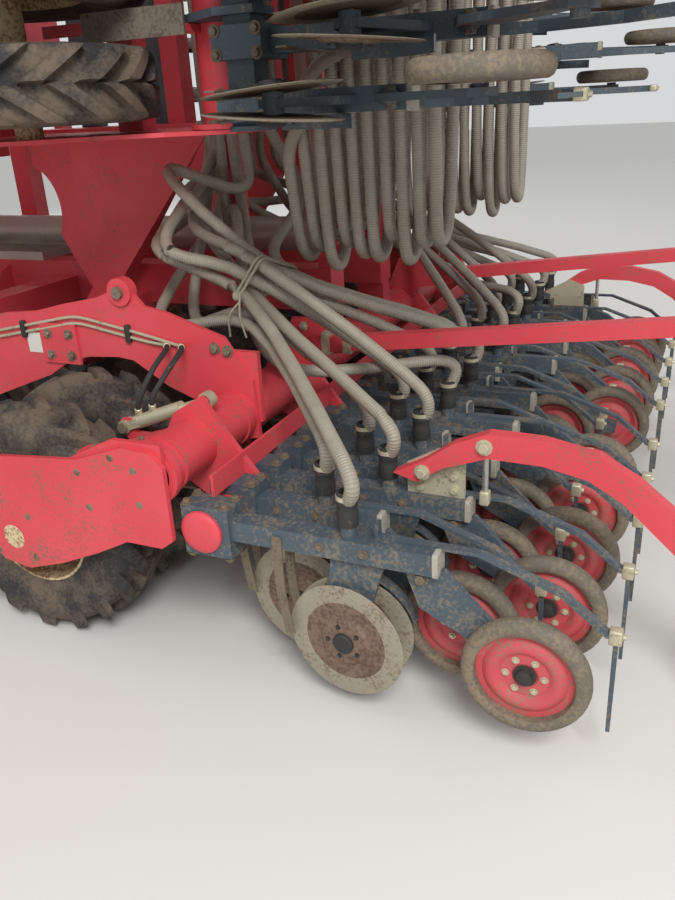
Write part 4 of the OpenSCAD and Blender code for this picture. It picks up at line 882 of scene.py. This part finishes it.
# Twine round each bundle of centre hoses: two turns drawn tight, so they follow the hull of the hoses
# that they hold, with a knot and two short ends. Only hoses within TIE_REACH of the middle are held.
twine = weathered("pale_polypropylene_twine", "#a49c8a", "#8d8472", "#6b5e4c", 0.25, 0.8)
HELD, TWINE_R, TIE_REACH = (0, 1, 2, 4, 5, 7, 9), 0.0045, 0.24
reach = HOSE_R + 0.0055
tie_middle = np.mean([CENTRE_VIA[i][0] for i in HELD], axis=0) / 1000
tie_way = unit(np.array([-0.10, -0.85, -0.50]))
side_way = unit(np.cross(tie_way, UPWARD))
rise_way = np.cross(side_way, tie_way)
cloud = []
for i in HELD:
    path = centre_paths[i] - tie_middle
    ahead = path @ tie_way
    for k in np.nonzero((ahead[:-1] < 0) != (ahead[1:] < 0))[0]:
        hit = path[k] + (path[k + 1] - path[k]) * ahead[k] / (ahead[k] - ahead[k + 1])
        if np.linalg.norm(hit) < TIE_REACH:
            round_hose = [(reach * math.cos(t), reach * math.sin(t)) for t in np.linspace(0, 6, 16)]
            cloud += [(hit @ side_way + across, hit @ rise_way + rise) for across, rise in round_hose]
outline = mathutils.geometry.convex_hull_2d([mathutils.Vector(spot) for spot in cloud])
hull = np.array([cloud[k] for k in outline + outline[:1]])
hull = tie_middle + hull[:, :1] * side_way + hull[:, 1:] * rise_way
shapes = [tube(hull + lift * tie_way, TWINE_R, 8, 0, False) for lift in (-0.007, 0.007)]
knot = hull[np.argmin(hull[:, 0])]
shapes.append(soft_block(knot - 0.016, knot + 0.016, 0, 0.8))
for s in (-1, 1):
    end = [knot, knot + [-0.02, -0.02, 0.01 * s], knot + [-0.03, -0.02 * s, -0.06],
           knot + [-0.02, -0.03 * s, -0.13]]
    shapes.append(tube(smooth_path(end, 6), 0.0035, 8, 0))
pair("twine_ties", [(p * mirror_x, faces, k) for p, faces, k in shapes], [twine], "frame")

# Domed end discs of the coulter bar, and the zinc clamps and pins of the marker arms on it. The arms
# are one CAD node: the clamp plates are told by their two faces, the end discs by being outermost.
chrome = weathered("chromed_rod", "#b9b9b4", "#a8a79f", "#857a68", 0.10, 0.25, metallic=0.8)
PLATE_X, PLATE_BACK, PLATE_TOP, END_DISC_X = (1.1235, 1.1345), -1.328, 0.692, 1.1925


def marker_material(x, y, z):
    """1 for the clamp plates, 2 for the end discs, 0 for the arms."""
    plate = within(x, PLATE_X) & (y > PLATE_BACK) & (z < PLATE_TOP) | (np.abs(x - 1.124) < 0.0005)
    return np.where(plate, 1, np.where(x > END_DISC_X, 2, 0))


sort_faces("marker_arms", [zinc_plate, soil_steel], marker_material)
dome = [(0.0625, -0.006), (0.0625, 0.0), (0.058, 0.005), (0.044, 0.009), (0.022, 0.0115), (0.0, 0.012)]
shapes = [revolve(dome, (1.474, -0.680, 0.510), OUTWARD, 40, 0)]
shapes += bolts(on_face(1.134, ((-1.198, 0.600), (-1.198, 0.570), (-1.295, 0.613), (-1.295, 0.572))), 1.5, 1)
shapes += bolts(on_face(1.171, ((-1.385, 0.727), (-1.215, 0.632))), 2.2, 1)
shapes.append(pin((1.150, -1.385, 0.575), UPWARD, 0.0085, 0.0, 0.125, 12, 2))
shapes.append(soft_block((1.136, -1.398, 0.5505), (1.164, -1.372, 0.592), 1, 0.25))
pair("marker_arm_and_bar_end_fittings", shapes, [red_enamel, zinc_plate, chrome], "coulter_frame")

# Lamp carriers: zinc clamps and bolts on the tubes. The boards stay blank and white and the lenses
# behind them are red; both are faces of the CAD node, told by how far back they lie.
CLAMPS = ((-0.690, 0.806), (-0.770, 0.815), (-2.290, 0.980))
shapes = [soft_block((0.570, y - 0.016, z - 0.040), (0.631, y + 0.016, z + 0.040), 0, 0.12) for y, z in CLAMPS]
shapes += bolts(on_face(0.631, [(y, z + dz) for y, z in CLAMPS for dz in (-0.022, 0.022)]), 1.2, 0)
shapes += bolts(on_face(0.5752, ((-0.600, 0.720), (-0.560, 0.705), (-0.585, 0.850))), 1.6, 0)
pair("lamp_carrier_clamps", shapes, [zinc_plate], "frame")
board_white = weathered("blank_white_board", "#d8d6cf", "#c6c2b6", "#8a7c68", 0.12, 0.5)
lamp_red = weathered("red_lamp_lens", "#a3121c", "#b42832", "#7d6350", 0.08, 0.2)
BOARD_BACK, LENS_BACK = -2.3345, -2.3395
sort_faces("light_bars", [board_white, lamp_red],
           lambda x, y, z: np.where(y < LENS_BACK, 2, np.where(y < BOARD_BACK, 1, 0)))

# Side sections: flanges of the round cross tube, the outer edge of one with a ring of bolts, and
# bolts of the scraper bars and of the hinge arm.
shapes = [sleeve_ring((x, CROSS_Y, CROSS_Z), CROSS_R, 0.118, 0.014, 0) for x in (1.524, 2.976)]
shapes += bolts(circle(1.5315, CROSS_Y, CROSS_Z, 0.098, 8), 1.3, 1)
bar_spots = [(HALF_W + TYRE_PITCH * k - 0.020, y) for k in (1, 2, 3, 4) for y in (-0.190, -0.230, -0.440)]
shapes += bolts([((x, y, 0.5085), UPWARD) for x, y in bar_spots], 1.3, 1)
shapes += bolts([((x, y, 1.0605), UPWARD) for x in (1.440, 1.470) for y in (0.290, 0.330)], 1.6, 1)
pair("{side}_wing_frame_fittings", shapes, [red_enamel, dull_zinc], "{side}_wing", True)
